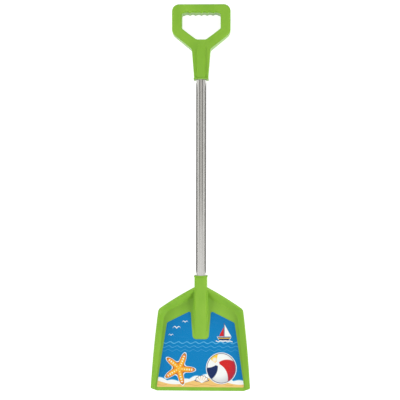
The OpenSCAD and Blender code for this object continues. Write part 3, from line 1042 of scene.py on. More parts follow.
@dataclass
class Blade:
    """Moulded scoop: floor, drafted walls with a flange, and the socket that sinks into it."""

    front_w: float = 156.0
    front_corner_r: float = 3.5
    front_reach: float = 1.5
    floor_front_w: float = 161.0
    floor_shoulder_w: float = 130.6
    floor_shoulder_z: float = 136.0
    floor_top_z: float = 168.0
    floor_corner_r: float = 24.0
    shell_t: float = 2.2
    lift: float = 9.0
    front_depth: float = 5.0
    rim_tilt: float = 6.5
    rim_w: float = 3.5
    rim_t: float = 2.6
    wall_run_front: float = 7.4
    wall_run_shoulder: float = 10.5
    wall_run_top: float = 19.5
    rim_front_z: float = 5.5
    rim_shoulder_rise: float = 7.0
    rim_corner_r: float = 10.0
    rim_top_bow: float = 1.5
    rim_side_bow: float = 1.1
    root_r: float = 3.5
    rim_edge_r: float = 1.2
    socket_w: float = 22.8
    socket_r: float = 3.5
    mouth_z: float = 202.0
    lip_w: float = 24.6
    ridge_end_z: float = 86.0
    socket_back_end_z: float = 122.0
    drain_r: float = 7.0
    drain_below: float = 4.0
    seat_z: float = TUBE_BOTTOM_Z
    brow_r: float = 3.0
    fillet_r: float = 2.2
    edge_steps: int = 22
    arc_steps: int = 14
    floor_run: float = 7.0
    front_margin: float = 0.3
    flange_share: float = 0.9
    flange_r: float = 0.6
    flange_root_r: float = 0.8
    bend_steps: int = 6
    edge_r: float = 0.7
    edge_deg: float = 50.0
    # Growth of the socket, and height above its mouth, of each step of the lip.
    lip_profile: tuple[tuple[float, float], ...] = (
        (0.0, -2.55), (0.55, -2.3), (0.9, -1.8), (0.9, -0.7), (0.7, -0.2), (0.35, 0.0))
    fillet_start: float = 10.0
    fillet_start_r: float = 0.35
    fillet_rows: int = 16
    # Lines of the wall's section at which the fillet has the radii below.
    fillet_lines: tuple[int, ...] = (8, 15, 22)
    fillet_line_radii: tuple[float, ...] = (2.2, 1.0, 0.6)
    fillet_steps: int = 8
    fillet_tries: int = 8
    fillet_overlap: float = 0.03
    fillet_depth: float = 0.7
    probe: float = 0.8

    @property
    def sink_z(self) -> float:
        """Height at which the ridge's face meets the floor."""
        return self.ridge_end_z + self.shell_t / 2 / math.tan(math.radians(self.lift))

    @property
    def floor_back(self) -> float:
        """Thickness of the floor, measured straight backwards."""
        return self.shell_t / math.cos(math.radians(self.lift))

    def floor_y(self, z: float) -> float:
        """Depth of the floor's front face at a height."""
        return (z - self.sink_z) * math.tan(math.radians(self.lift)) - self.socket_w / 2

    def rim_y(self, z: float) -> float:
        """Depth of the rim's face at a height."""
        base = self.floor_y(self.rim_front_z) - self.front_depth
        return base + (z - self.rim_front_z) * math.tan(math.radians(self.rim_tilt))

    def half_line(self, end: Sequence[float], knee: Sequence[float], top: Sequence[float],
                  radius: float, side_bow: float, top_bow: float) -> np.ndarray:
        """Draws the right half of an outline, in X and Z.

        Args:
            end: Its front end.
            knee: Its corner at the shoulder.
            top: Its top, in the middle.
            radius: Radius of the corner.
            side_bow: How far the side bows outwards.
            top_bow: How far the top bows outwards.

        Returns:
            Its points, from the front end to the top.
        """
        end, knee, top = (np.array(p, float) for p in (end, knee, top))
        bend = arc_corner(end, knee, top, radius, self.arc_steps)
        line = [end] + bowed(end, bend[0], side_bow, self.edge_steps) + bend[1:]
        return np.array(line + bowed(bend[-1], top, top_bow, self.edge_steps))

    def wall_section(self, foot_point: Point, rim_point: Point) -> list[Point]:
        """Draws the section of floor, wall and flange at one station.

        Args:
            foot_point: Where the wall stands on the floor, in X and Z.
            rim_point: Where the flange ends, in X and Z.

        Returns:
            The section's points, the front face first.
        """
        run = float(np.linalg.norm(rim_point - foot_point))
        out = (rim_point - foot_point) / run

        def on(plane: Callable[[float], float], s: float, back: float = 0.0) -> Point:
            """Returns a point on the plane of the floor or the rim, or behind it."""
            p = foot_point + out * s
            return np.array([p[0], plane(p[1]) + back, p[1]])

        foot = run - self.rim_w
        inset = min(self.floor_run, (foot_point[1] - self.front_margin) / max(out[1], TINY))
        a, b = on(self.floor_y, 0), on(self.rim_y, foot)
        slope, depth = float(np.linalg.norm(b - a)), float(a[1] - b[1])
        flange = min(self.rim_t, depth * self.flange_share)
        shift = self.shell_t * slope / depth
        knots = [on(self.floor_y, -inset), a, b, on(self.rim_y, run), on(self.rim_y, run, flange),
                 on(self.rim_y, foot * (depth - flange) / depth + shift, flange),
                 on(self.floor_y, shift - foot * self.shell_t / depth, self.floor_back),
                 on(self.floor_y, -inset, self.floor_back)]
        radii = [0, self.root_r, self.brow_r, self.rim_edge_r, self.flange_r, self.flange_root_r,
                 self.root_r + self.shell_t, 0]
        return rounded_line(knots, radii, self.bend_steps, False)

    def sections(self) -> np.ndarray:
        """Returns the wall's sections along the right half, from the front end to the top.

        Returns:
            One section for each point of the outlines.
        """
        floor_line = self.half_line(
            (self.floor_front_w / 2, self.front_reach),
            (self.floor_shoulder_w / 2, self.floor_shoulder_z), (0, self.floor_top_z),
            self.floor_corner_r, 0, 0)
        rim_line = self.half_line(
            (self.floor_front_w / 2 + self.wall_run_front, self.rim_front_z),
            (self.floor_shoulder_w / 2 + self.wall_run_shoulder,
             self.floor_shoulder_z + self.rim_shoulder_rise),
            (0, self.floor_top_z + self.wall_run_top), self.rim_corner_r,
            self.rim_side_bow, self.rim_top_bow)
        return np.array([self.wall_section(f, r) for f, r in zip(floor_line, rim_line)])

    def scoop(self, half: np.ndarray) -> bpy.types.Object:
        """Builds floor, walls and flange.

        Args:
            half: The sections of the right half.

        Returns:
            The closed solid.
        """
        rows = np.concatenate([half, half[-2::-1] * MIRROR])
        n, cols = rows.shape[:2]
        corner = arc_corner(np.array([self.front_w / 2, self.front_reach]),
                            np.array([self.front_w / 2, 0.0]), np.array([0.0, 0.0]),
                            self.front_corner_r, self.arc_steps)
        right = np.array([[x, self.floor_y(z), z] for x, z in corner])
        edge = np.concatenate([right, (right * MIRROR)[::-1]])
        m, base, last = len(edge), n * cols, cols - 1
        points = np.concatenate([rows.reshape(-1, 3), edge, edge + [0, self.floor_back, 0]])
        faces = grid_faces(n, cols, wrap_cols=False)
        faces += [tuple(range(cols)), tuple((n - 1) * cols + j for j in range(cols))]
        faces += [tuple([i * cols + j for i in range(n)]
                        + [start + k for k in range(m - 1, -1, -1)])
                  for j, start in ((0, base), (last, base + m))]
        faces += [(base + k, base + k + 1, base + m + k + 1, base + m + k) for k in range(m - 1)]
        faces += [(0, base, base + m, last),
                  ((n - 1) * cols, base + m - 1, base + 2 * m - 1, (n - 1) * cols + last)]
        return make_object("blade", points, faces)

    def socket_section(self, grow: float, z: float) -> np.ndarray:
        """Returns the section of the socket at a height, grown all round but at the back.

        Args:
            grow: How far it is grown.
            z: Its height.

        Returns:
            The closed section.
        """
        outline = box_outline(self.socket_w + 2 * grow, -self.socket_w / 2 - grow, BACK_Y,
                              self.socket_r + grow, self.socket_r)
        return np.column_stack([outline, np.full(len(outline), z)])

    def socket(self) -> bpy.types.Object:
        """Builds the socket, slanted off at its lower end, with the lip round its mouth.

        Returns:
            The closed solid.
        """
        upper = [self.socket_section(grow, self.mouth_z + rise) for grow, rise in self.lip_profile]
        body = loft("socket", upper)
        column = loft("column", [self.socket_section(0.0, self.ridge_end_z), upper[0]])
        fold = -self.socket_w / 2 + self.shell_t
        slope = (self.socket_back_end_z - self.ridge_end_z) / (BACK_Y - fold)
        front, back = -2 * self.lip_w, 2 * BACK_Y
        profile = [(front, 0.0), (back, 0.0), (back, self.ridge_end_z + slope * (back - fold)),
                   (fold, self.ridge_end_z), (front, self.ridge_end_z)]
        wedge = loft("wedge", [np.array([[x, y, z] for y, z in profile])
                               for x in (-self.lip_w, self.lip_w)])
        combine(column, [wedge], Cut.CARVE)
        return combine(column, [body], Cut.JOIN)

    def fillet(self, half: np.ndarray, side: float) -> bpy.types.Object:
        """Builds the hollow fillet between one side of the socket and floor, wall and flange.

        Args:
            half: The sections of the right half.
            side: 1 for the right side of the socket and -1 for the left.

        Returns:
            A closed strip that reaches into both walls.
        """
        face_x = self.socket_w / 2
        bend = face_x - self.socket_r
        top = half[self.edge_steps + self.arc_steps:]

        def at(j: int, x: float) -> Point:
            """Returns the point of one line of the wall at a distance across."""
            line = top[::-1, j]
            return np.array([x, *(np.interp(x, line[:, 0], line[:, k]) for k in (1, 2))])

        def facing(j: int, x: float) -> Point:
            """Returns the direction that the wall faces there."""
            along = at(j, x + self.probe) - at(j, x - self.probe)
            return unit(np.cross(along, at(j + 1, x) - at(max(j - 1, 0), x)))

        def rolled(place: Callable[[float], Point], normal: Callable[[float], Point],
                   radius: float) -> np.ndarray:
            """Returns the section where a ball that touches the socket lies on a surface.

            Args:
                place: Gives the surface at a distance across.
                normal: Gives the direction that it faces there.
                radius: Radius of the ball.

            Returns:
                The arc between both touching points, and its root in the wall.
            """
            x = face_x + radius
            for _ in range(self.fillet_tries):
                middle = place(x) + normal(x) * radius
                into = max(-bend - middle[1], 0.0)
                reach = bend + math.sqrt(max((self.socket_r + radius) ** 2 - into**2,
                                             LEAST_SQUARE))
                x += reach - middle[0]
            a, b = unit(np.array([bend - middle[0], into, 0.0])), -normal(x)
            sweep = math.acos(float(np.clip(a @ b, -MOST_COSINE, MOST_COSINE)))
            arc = [middle + radius * point for point in swing(a, b, sweep, self.fillet_steps)]
            arc[0] = arc[0] + a * self.fillet_overlap
            arc[-1] = arc[-1] + b * self.fillet_overlap
            root = middle + unit(a + b) * (radius / math.cos(sweep / 2) + self.fillet_depth)
            return np.array(arc + [root]) * [side, 1, 1]

        tilt = math.radians(self.lift)
        floor_n = np.array([0.0, -math.cos(tilt), math.sin(tilt)])
        start_z = self.sink_z + self.fillet_start
        stop_z = at(0, face_x + self.fillet_r)[2]
        rows = []
        for k in range(self.fillet_rows):
            t = k / self.fillet_rows
            z = start_z + (stop_z - start_z) * t
            grown = (self.fillet_r - self.fillet_start_r) * t * t * (3 - 2 * t)
            rows.append(rolled(lambda x: np.array([x, self.floor_y(z), z]), lambda x: floor_n,
                               self.fillet_start_r + grown))
        for j in range(self.fillet_lines[-1] + 1):
            radius = float(np.interp(j, self.fillet_lines, self.fillet_line_radii))
            rows.append(rolled(lambda x: at(j, x), lambda x: facing(j, x), radius))
        return loft("fillet", rows)

    def build(self, material: bpy.types.Material) -> bpy.types.Object:
        """Builds the whole moulding and dresses it.

        Args:
            material: The plastic.

        Returns:
            The blade.
        """
        half = self.sections()
        blade = soften(self.scoop(half), self.edge_r, self.edge_deg)
        combine(blade, [self.socket(), self.fillet(half, 1.0), self.fillet(half, -1.0)], Cut.JOIN)
        drain = turned("drain", [(self.drain_r, self.ridge_end_z - self.drain_below),
                                 (self.drain_r, self.seat_z + CUT_PAST / 2)])
        combine(blade, [bore_cutter(self.seat_z, self.mouth_z), drain,
                        *screw_cutters(BLADE_SCREW_Z)], Cut.CARVE)
        return dress(blade, material)


def bore_cutter(end_z: float, mouth_z: float) -> bpy.types.Object:
    """Returns the bore of a socket between two heights, widened at its mouth.

    Args:
        end_z: Height of its closed end.
        mouth_z: Height of its mouth.

    Returns:
        The solid to carve with.
    """
    way = math.copysign(1.0, mouth_z - end_z)
    wide = BORE_R + MOUTH_CHAMFER
    profile = [(BORE_R, end_z), (BORE_R, mouth_z - way * MOUTH_CHAMFER), (wide, mouth_z),
               (wide, mouth_z + way * CUT_PAST)]
    return turned("bore", sorted(profile, key=lambda step: step[1]))


def screw_cutters(z: float) -> list[bpy.types.Object]:
    """Returns the recess of the head and the hole of the shank of a screw at a height.

    Args:
        z: Height of the screw's axis.

    Returns:
        The two solids to carve with.
    """
    base = Matrix.Translation((0.0, BACK_Y - HEAD_SINK, z)) @ BACKWARDS
    wide = RECESS_R + RECESS_CHAMFER
    head = turned("recess", [(RECESS_R, 0.0), (RECESS_R, HEAD_SINK - RECESS_CHAMFER),
                             (wide, HEAD_SINK), (wide, HEAD_SINK + CUT_PAST / 2)],
                  base, SMALL_SEGMENTS)
    shank = turned("hole", [(SHANK_HOLE_R, HEAD_SINK - BACK_Y), (SHANK_HOLE_R, HOLE_PAST)],
                   base, HOLE_SEGMENTS)
    return [head, shank]


@dataclass
class Grip:
    """Moulded D-grip: open-backed ring with finger grooves and ribs, hub and socket."""

    grip_w: float = 105.2
    hole_w: float = 69.2
    hole_h: float = 47.2
    hole_side_h: float = 27.0
    hole_bottom_w: float = 17.0
    bar_h: float = 16.4
    hub_h: float = 17.3
    arm_rise: float = 29.3
    grip_top_r: float = 12.5
    grip_side_r: float = 14.5
    arm_fillet_r: float = 9.0
    arm_root_in: float = 1.0
    hole_top_r: float = 3.5
    hole_side_r: float = 2.5
    hole_bottom_r: float = 8.0
    ring_front: float = 10.5
    ring_edge_r: float = 3.2
    ring_t: float = 2.6
    rib_t: float = 1.6
    rib_inset: float = 1.5
    groove_count: int = 6
    groove_depth: float = 1.7
    groove_wrap: float = 3.2
    mouth_z: float = 554.0
    socket_len: float = 53.5
    shoulder_w: float = 33.6
    mouth_w: float = 25.0
    lip_w: float = 27.0
    panel_w: float = 17.0
    panel_rise: float = 2.0
    panel_bevel: float = 1.4
    panel_edge_r: float = 3.2
    ease_len: float = 12.0
    panel_front_top: float = 15.5
    panel_front_mouth: float = 12.8
    groove_steps: int = 16
    arc_steps: int = 12
    bend_steps: int = 6
    groove_blend: float = 0.01
    channel_edge_r: float = 0.9
    channel_root_r: float = 0.8
    arm_rib_in: float = 0.5
    arm_rib_out: float = 0.4
    foot_h: float = 0.5
    back_r: float = 0.6
    lip_front_r: float = 3.5
    lip_back_r: float = 1.0
    # Inset of each step of the lip, and its height above the mouth.
    lip_profile: tuple[tuple[float, float], ...] = (
        (0.4, 0.0), (0.1, 0.25), (0.0, 0.7), (0.0, 1.6), (0.3, 2.1), (0.9, 2.4))
    core_front: float = 1.3
    core_back: float = 0.02
    plate_front: float = -20.0
    plate_edge_r: float = 2.9

    @property
    def shoulder_z(self) -> float:
        """Height of the shoulder where the arms leave the socket."""
        return self.mouth_z + self.socket_len

    @property
    def hole_bottom_z(self) -> float:
        """Height of the bottom of the hand opening."""
        return self.shoulder_z + self.hub_h

    @property
    def hole_top_z(self) -> float:
        """Height of the top of the hand opening."""
        return self.hole_bottom_z + self.hole_h

    @property
    def top_z(self) -> float:
        """Height of the top of the bar."""
        return self.hole_top_z + self.bar_h

    @property
    def pitch(self) -> float:
        """Distance from one finger groove to the next."""
        return (self.hole_w - 2 * self.hole_top_r) / self.groove_count

    def groove_share(self, x: float) -> float:
        """Share of a groove's depth at a distance from the middle of the bar.

        Args:
            x: The distance from the middle.

        Returns:
            0 between two grooves and 1 at the deepest place of a groove.
        """
        wave = math.sin(math.pi * (x / self.pitch + self.groove_count / 2))
        least = math.sqrt(self.groove_blend)
        return (math.sqrt(wave * wave + self.groove_blend) - least) / (
            math.sqrt(1 + self.groove_blend) - least)

    def outlines(self) -> tuple[np.ndarray, np.ndarray, list[float]]:
        """Draws the right half of the ring.

        Returns:
            The inner outline, the outer outline, and the radius of the inner edge at each point.
        """
        outer = [np.array(p, float) for p in (
            (0, self.top_z), (self.grip_w / 2, self.top_z),
            (self.grip_w / 2, self.shoulder_z + self.arm_rise),
            (self.shoulder_w / 2, self.shoulder_z),
            (self.shoulder_w / 2 - self.arm_root_in, self.shoulder_z - self.arm_fillet_r),
            (0, self.shoulder_z - self.arm_fillet_r))]
        inner = [np.array(p, float) for p in (
            (0, self.hole_top_z), (self.hole_w / 2, self.hole_top_z),
            (self.hole_w / 2, self.hole_top_z - self.hole_side_h),
            (self.hole_bottom_w / 2, self.hole_bottom_z), (0, self.hole_bottom_z))]
        count = self.groove_count * self.groove_steps // 2
        xs = [self.pitch * i / self.groove_steps for i in range(count + 1)]
        inside = [np.array([x, self.hole_top_z + self.groove_depth * self.groove_share(x)])
                  for x in xs]
        outside = [np.array([x, self.top_z]) for x in xs]
        for k, (r_in, r_out) in enumerate(((self.hole_top_r, self.grip_top_r),
                                           (self.hole_side_r, self.grip_side_r),
                                           (self.hole_bottom_r, self.arm_fillet_r)), start=1):
            inside += arc_corner(inner[k - 1], inner[k], inner[k + 1], r_in, self.arc_steps)
            outside += arc_corner(outer[k - 1], outer[k], outer[k + 1], r_out, self.arc_steps)
        inside += [np.array([self.hole_bottom_w / 4, self.hole_bottom_z]), inner[4]]
        outside += [outer[4], outer[5]]
        radii = [self.ring_edge_r + self.groove_wrap * self.groove_share(x) for x in xs]
        radii += [self.ring_edge_r] * (len(outside) - len(xs))
        return np.array(inside), np.array(outside), radii

    def ring_section(self, a: Point, b: Point, edge_r: float) -> list[Point]:
        """Draws the open-backed section of the ring at one station.

        Args:
            a: The point on its inner outline, in X and Z.
            b: The point on its outer outline.
            edge_r: Radius of its inner front edge.

        Returns:
            The section's points.
        """
        width = float(np.linalg.norm(b - a))
        out, front, t = (b - a) / width, -self.ring_front, self.ring_t
        flat = [(0, front), (0, BACK_Y), (t, BACK_Y), (t, front + t),
                (width - t, front + t), (width - t, BACK_Y), (width, BACK_Y), (width, front)]
        roots = [max(r - t, 0.0) + self.channel_root_r for r in (edge_r, self.ring_edge_r)]
        legs = [self.channel_edge_r] * 2
        radii = [edge_r, *legs, *roots, *legs, self.ring_edge_r]
        line = rounded_line([np.array(p, float) for p in flat], radii, self.bend_steps, True)
        return [np.array([a[0] + out[0] * s, y, a[1] + out[1] * s]) for s, y in line]

    def ring(self) -> bpy.types.Object:
        """Builds the ring of the grip.

        Returns:
            The closed solid.
        """
        inside, outside, radii = self.outlines()
        half = np.array([self.ring_section(a, b, r) for a, b, r in zip(inside, outside, radii)])
        rows = np.concatenate([half, half[-2:0:-1] * MIRROR])
        n, cols = rows.shape[:2]
        return make_object("grip", rows.reshape(-1, 3), grid_faces(n, cols, wrap_rows=True))

    def rib_lines(self) -> list[tuple[Point, Point]]:
        """Returns both ends of each rib that crosses the ring's channel.

        Returns:
            Both ends of each line, in X and Z.
        """
        inside, outside, _ = self.outlines()
        lines = [(np.array([x, self.hole_top_z]), np.array([x, self.top_z]))
                 for x in (self.pitch * (k - self.groove_count / 2)
                           for k in range(1, self.groove_count))]
        side_z = self.hole_top_z - self.hole_side_h / 2
        knee = self.groove_count * self.groove_steps // 2 + 1 + self.arc_steps + 1
        knee += self.arc_steps // 2
        arm = knee + self.arc_steps // 2 + 1
        for sign in (-1.0, 1.0):
            flip = np.array([sign, 1.0])
            lines.append((np.array([self.hole_w / 2, side_z]) * flip,
                          np.array([self.grip_w / 2, side_z]) * flip))
            lines.append((inside[knee] * flip, outside[knee] * flip))
            lines.append(tuple((line[arm - 1] * (1 - share) + line[arm] * share) * flip
                               for line, share in ((inside, self.arm_rib_in),
                                                   (outside, self.arm_rib_out))))
        lines.append((np.array([0.0, self.hole_bottom_z]), np.array([0.0, TUBE_TOP_Z])))
        return lines

    def ribs(self, material: bpy.types.Material) -> bpy.types.Object:
        """Builds the ribs with a node tree that puts one bar on each line across the channel.

        Args:
            material: The plastic.

        Returns:
            The ribs as one object.
        """
        depth = self.ring_front + BACK_Y - self.ring_t / 2 - self.rib_inset
        middle = -self.ring_front + self.ring_t / 2 + depth / 2
        lines = self.rib_lines()
        centres = np.array([[*(a + b) / 2, 0.0] for a, b in lines])[:, [0, 2, 1]]
        centres[:, 1] = middle
        seeds = make_object("ribs", centres, [])
        lengths = [float(np.linalg.norm(b - a)) - self.ring_t for a, b in lines]
        turns = [math.atan2(a[0] - b[0], b[1] - a[1]) for a, b in lines]
        give_points(seeds, "rib_length", [length * MM for length in lengths])
        give_points(seeds, "rib_turn", turns)
        return RibTree().apply(seeds, {"Thickness": self.rib_t * MM, "Depth": depth * MM,
                                       "Material": material})

    @staticmethod
    def prism(name: str, half: np.ndarray, front: float, back: float) -> bpy.types.Object:
        """Builds a bar that runs from front to back.

        Args:
            name: Name of the object.
            half: The right half of its outline, in X and Z.
            front: Y of its front end.
            back: Y of its back end.

        Returns:
            The solid.
        """
        line = np.concatenate([half, half[-1:0:-1] * [-1, 1]])
        return loft(name, [np.column_stack([line[:, 0], np.full(len(line), y), line[:, 1]])
                           for y in (front, back)])

    def hub(self) -> list[bpy.types.Object]:
        """Builds the socket, its front panel, its lip, the hub's core and the hub's slopes.

        Returns:
            The five solids.
        """
        crease_z = self.hole_bottom_z - self.ring_edge_r
        low_z = self.shoulder_z - self.arm_fillet_r
        foot_z = self.mouth_z + self.foot_h
        body = stacked("body", [
            box_outline(width, self.panel_rise - front, BACK_Y, self.panel_bevel, self.back_r)
            for width, front in ((self.mouth_w, self.panel_front_mouth),
                                 (self.shoulder_w, self.panel_front_top))],
            [foot_z, self.shoulder_z])
        panel = stacked("panel", [
            box_outline(self.panel_w, -front, 0.0, self.panel_edge_r, self.back_r)
            for front in (self.panel_front_mouth, self.panel_front_top, self.ring_front)],
            [foot_z, self.shoulder_z, crease_z])
        lip_front = self.panel_front_mouth + (self.lip_w - self.mouth_w) / 2
        lip = stacked("lip", [
            box_outline(self.lip_w - 2 * inset, inset - lip_front, BACK_Y, self.lip_front_r,
                        self.lip_back_r) for inset, _ in self.lip_profile],
            [self.mouth_z + rise for _, rise in self.lip_profile])
        core_line = box_outline(self.shoulder_w - 2 * self.ring_t,
                                self.core_front - self.ring_front, BACK_Y - self.core_back,
                                self.back_r, self.back_r)
        core = stacked("core", [core_line] * 2, [low_z, TUBE_TOP_Z + self.ring_t])
        inside, outside, _ = self.outlines()
        plate = self.prism("arms", outside, self.plate_front, 0.0)
        hub_back = self.ring_t - self.ring_front
        side = [(-self.ring_front, crease_z),
                (self.panel_rise - self.panel_front_top, self.shoulder_z),
                (-self.ring_front, low_z), (hub_back, low_z), (hub_back, crease_z + self.ease_len)]
        wedge = loft("wedge", [np.array([[x, y, z] for y, z in side])
                               for x in (-self.grip_w / 2, self.grip_w / 2)])
        combine(plate, [wedge], Cut.KEEP)
        combine(plate, [self.prism("opening", inside, self.plate_front - CUT_PAST / 2,
                                   CUT_PAST / 2)], Cut.CARVE)
        soften(plate, self.plate_edge_r)
        return [body, panel, lip, core, plate]

    def build(self, material: bpy.types.Material) -> bpy.types.Object:
        """Builds the whole moulding and dresses it.

        Args:
            material: The plastic.

        Returns:
            The grip.
        """
        grip = self.ring()
        combine(grip, [self.ribs(material), *self.hub()], Cut.JOIN)
        combine(grip, [bore_cutter(TUBE_TOP_Z, self.mouth_z), *screw_cutters(GRIP_SCREW_Z)],
                Cut.CARVE)
        return dress(grip, material)


def give_points(obj: bpy.types.Object, name: str, values: Sequence[float]) -> None:
    """Gives each point of a mesh its own number under a name."""
    layer = obj.data.attributes.new(name, "FLOAT", "POINT")
    layer.data.foreach_set("value", values)


class GeometryTree:
    """A Geometry Nodes tree with named inputs."""

    title = "tree"
    inputs: tuple[tuple[str, str], ...] = ()

    def build(self) -> bpy.types.NodeTree:
        """Makes the tree, from its inputs to Realize Instances and Set Material.

        Returns:
            The tree.
        """
        tree = bpy.data.node_groups.new(self.title, "GeometryNodeTree")
        tree.interface.new_socket("Geometry", in_out="INPUT", socket_type="NodeSocketGeometry")
        tree.interface.new_socket("Geometry", in_out="OUTPUT", socket_type="NodeSocketGeometry")
        for name, kind in self.inputs:
            tree.interface.new_socket(name, in_out="INPUT", socket_type=kind)
        bench = NodeBench(tree)
        source = bench.node("NodeGroupInput")
        shape = self.shape(bench, {s.name: Signal(bench, s) for s in source.outputs if s.name})
        real = bench.signal("GeometryNodeRealizeInstances", {}, {0: shape})
        dressed = bench.signal("GeometryNodeSetMaterial", {}, {
            "Geometry": real, "Material": Signal(bench, source.outputs["Material"])})
        bench.node("NodeGroupOutput", {}, {0: dressed})
        return tree

    def shape(self, bench: NodeBench, given: dict[str, Signal]) -> Signal:
        """Adds the nodes that make the shape.

        Args:
            bench: The tree's bench.
            given: The tree's inputs by name.

        Returns:
            The shape.
        """
        raise NotImplementedError

    def apply(self, obj: bpy.types.Object, values: dict[str, Any]) -> bpy.types.Object:
        """Makes an object's mesh with the tree.

        Args:
            obj: The object that carries the tree's points.
            values: The tree's inputs by name; they are set by their identifiers.

        Returns:
            The same object.
        """
        tree = self.build()
        step = obj.modifiers.new(tree.name, "NODES")
        step.node_group = tree
        for item in tree.interface.items_tree:
            if item.in_out == "INPUT" and item.name in values:
                step[item.identifier] = values[item.name]
        return settle(obj)


class RibTree(GeometryTree):
    """Puts a bar on each seed point, turned and stretched by the point's own values."""

    title = "grip_ribs"
    inputs = (("Thickness", "NodeSocketFloat"), ("Depth", "NodeSocketFloat"),
              ("Material", "NodeSocketMaterial"))

    def shape(self, bench: NodeBench, given: dict[str, Signal]) -> Signal:
        """Adds one bar for each seed.

        Args:
            bench: The tree's bench.
            given: The tree's inputs by name.

        Returns:
            The shape.
        """
        bar = bench.signal("GeometryNodeMeshCube", {}, {
            "Size": bench.vector(given["Thickness"], 1.0, given["Depth"])})
        return bench.signal("GeometryNodeInstanceOnPoints", {}, {
            "Points": given["Geometry"], "Instance": bar,
            "Rotation": bench.vector(0.0, 0.0, bench.point_value("rib_turn")),
            "Scale": bench.vector(1.0, bench.point_value("rib_length"), 1.0)})


class TubeTree(GeometryTree):
    """Sweeps the section of the tube's wall round its axis."""

    title = "tube_wall"
    inputs = (("Radius", "NodeSocketFloat"), ("Wall", "NodeSocketFloat"),
              ("Length", "NodeSocketFloat"), ("Centre", "NodeSocketVector"),
              ("Segments", "NodeSocketInt"), ("Material", "NodeSocketMaterial"))

    def shape(self, bench: NodeBench, given: dict[str, Signal]) -> Signal:
        """Sweeps a slim rectangle round a circle.

        Args:
            bench: The tree's bench.
            given: The tree's inputs by name.

        Returns:
            The shape.
        """
        middle = given["Radius"] - given["Wall"] * 0.5
        circle = bench.signal("GeometryNodeCurvePrimitiveCircle", {}, {
            "Resolution": given["Segments"], "Radius": middle})
        upright = bench.signal("GeometryNodeSetCurveNormal", {"mode": "Z_UP"}, {0: circle})
        wall = bench.signal("GeometryNodeCurvePrimitiveQuadrilateral", {}, {
            "Width": given["Wall"], "Height": given["Length"]})
        swept = bench.signal("GeometryNodeCurveToMesh", {}, {"Curve": upright,
                                                             "Profile Curve": wall})
        return bench.signal("GeometryNodeTransform", {}, {
            "Geometry": swept, "Translation": given["Centre"], "Rotation": LAID.to_euler()})


class ScrewTree(GeometryTree):
    """Puts a copy of one screw in each of its holes."""

    title = "fixing_screws"
    inputs = (("Screw", "NodeSocketObject"), ("Material", "NodeSocketMaterial"))

    def shape(self, bench: NodeBench, given: dict[str, Signal]) -> Signal:
        """Adds one screw for each seat.

        Args:
            bench: The tree's bench.
            given: The tree's inputs by name.

        Returns:
            The shape.
        """
        screw = bench.signal("GeometryNodeObjectInfo", {"transform_space": "ORIGINAL"},
                             {"Object": given["Screw"]}, out="Geometry")
        return bench.signal("GeometryNodeInstanceOnPoints", {}, {
            "Points": given["Geometry"], "Instance": screw,
            "Rotation": bench.vector(0.0, 0.0, bench.point_value("screw_turn"))})


@dataclass
class Shaft:
    """The steel tube and the two screws that hold it in its sockets."""

    radius: float = 9.0
    wall: float = 0.8
    segments: int = 160
    screw_zs: tuple[float, float] = (BLADE_SCREW_Z, GRIP_SCREW_Z)
    screw_turns: tuple[float, float] = (0.35, 1.1)
    shank_r: float = 1.5
    shank_len: float = 9.0
    head_r: float = 3.2
    head_h: float = 1.8
    cross_w: float = 0.9
    cross_reach: float = 1.1
    cross_taper: float = 0.55
    cross_floor: float = 0.3
    cross_top: float = 1.2
    dome_steps: int = 10
    brim_share: float = 0.35
    tip_len: float = 3.0
    edge_r: float = 0.15

    def tube(self, material: bpy.types.Material) -> bpy.types.Object:
        """Builds the tube with a node tree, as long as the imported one.

        Args:
            material: The steel.

        Returns:
            The tube.
        """
        low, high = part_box("tube")
        tube = make_object("tube_steel", np.zeros((1, 3)), [])
        TubeTree().apply(tube, {
            "Radius": self.radius * MM, "Wall": self.wall * MM, "Length": high.y - low.y,
            "Centre": (low + high) / 2, "Segments": self.segments, "Material": material})
        return smooth(tube)

    def screw(self) -> bpy.types.Object:
        """Builds one screw about the origin, its axis pointing backwards.

        Returns:
            The screw.
        """
        brim = self.brim_share
        dome = [(self.head_r * math.cos(w), self.head_h * (brim + (1 - brim) * math.sin(w)))
                for w in (math.pi / 2 * k / self.dome_steps for k in range(1, self.dome_steps))]
        profile = [(self.shank_r * brim, -self.shank_len),
                   (self.shank_r, self.tip_len - self.shank_len), (self.shank_r, 0.0),
                   (self.head_r - self.edge_r, 0.0), (self.head_r, self.edge_r),
                   (self.head_r, self.head_h * brim), *dome, (self.edge_r, self.head_h)]
        screw = turned("screw", profile, BACKWARDS, SMALL_SEGMENTS)
        arms = []
        reach = self.head_r * self.cross_reach
        for wide, deep in ((reach, self.cross_w), (self.cross_w, reach)):
            outline = box_outline(wide, -deep / 2, deep / 2, self.edge_r, self.edge_r, 2)
            rows = [np.column_stack([outline * s, np.full(len(outline), z)])
                    for s, z in ((self.cross_taper, self.head_h * self.cross_floor),
                                 (1.0, self.head_h * self.cross_top))]
            arms.append(loft("cross", [np.array([BACKWARDS @ Vector(p) for p in row])
                                       for row in rows]))
        combine(screw, arms, Cut.CARVE)
        screw.data.transform(Matrix.Translation(-LAID.translation))
        return screw

    def screws(self, material: bpy.types.Material) -> bpy.types.Object:
        """Builds both screws with a node tree.

        Args:
            material: The plating.

        Returns:
            Both screws as one object.
        """
        seats = np.array([[0.0, BACK_Y - HEAD_SINK, z] for z in self.screw_zs])
        screws = make_object("screws", seats, [])
        give_points(screws, "screw_turn", self.screw_turns)
        one = self.screw()
        ScrewTree().apply(screws, {"Screw": one, "Material": material})
        bpy.data.objects.remove(one)
        return smooth(screws)


# ---- Studio ----


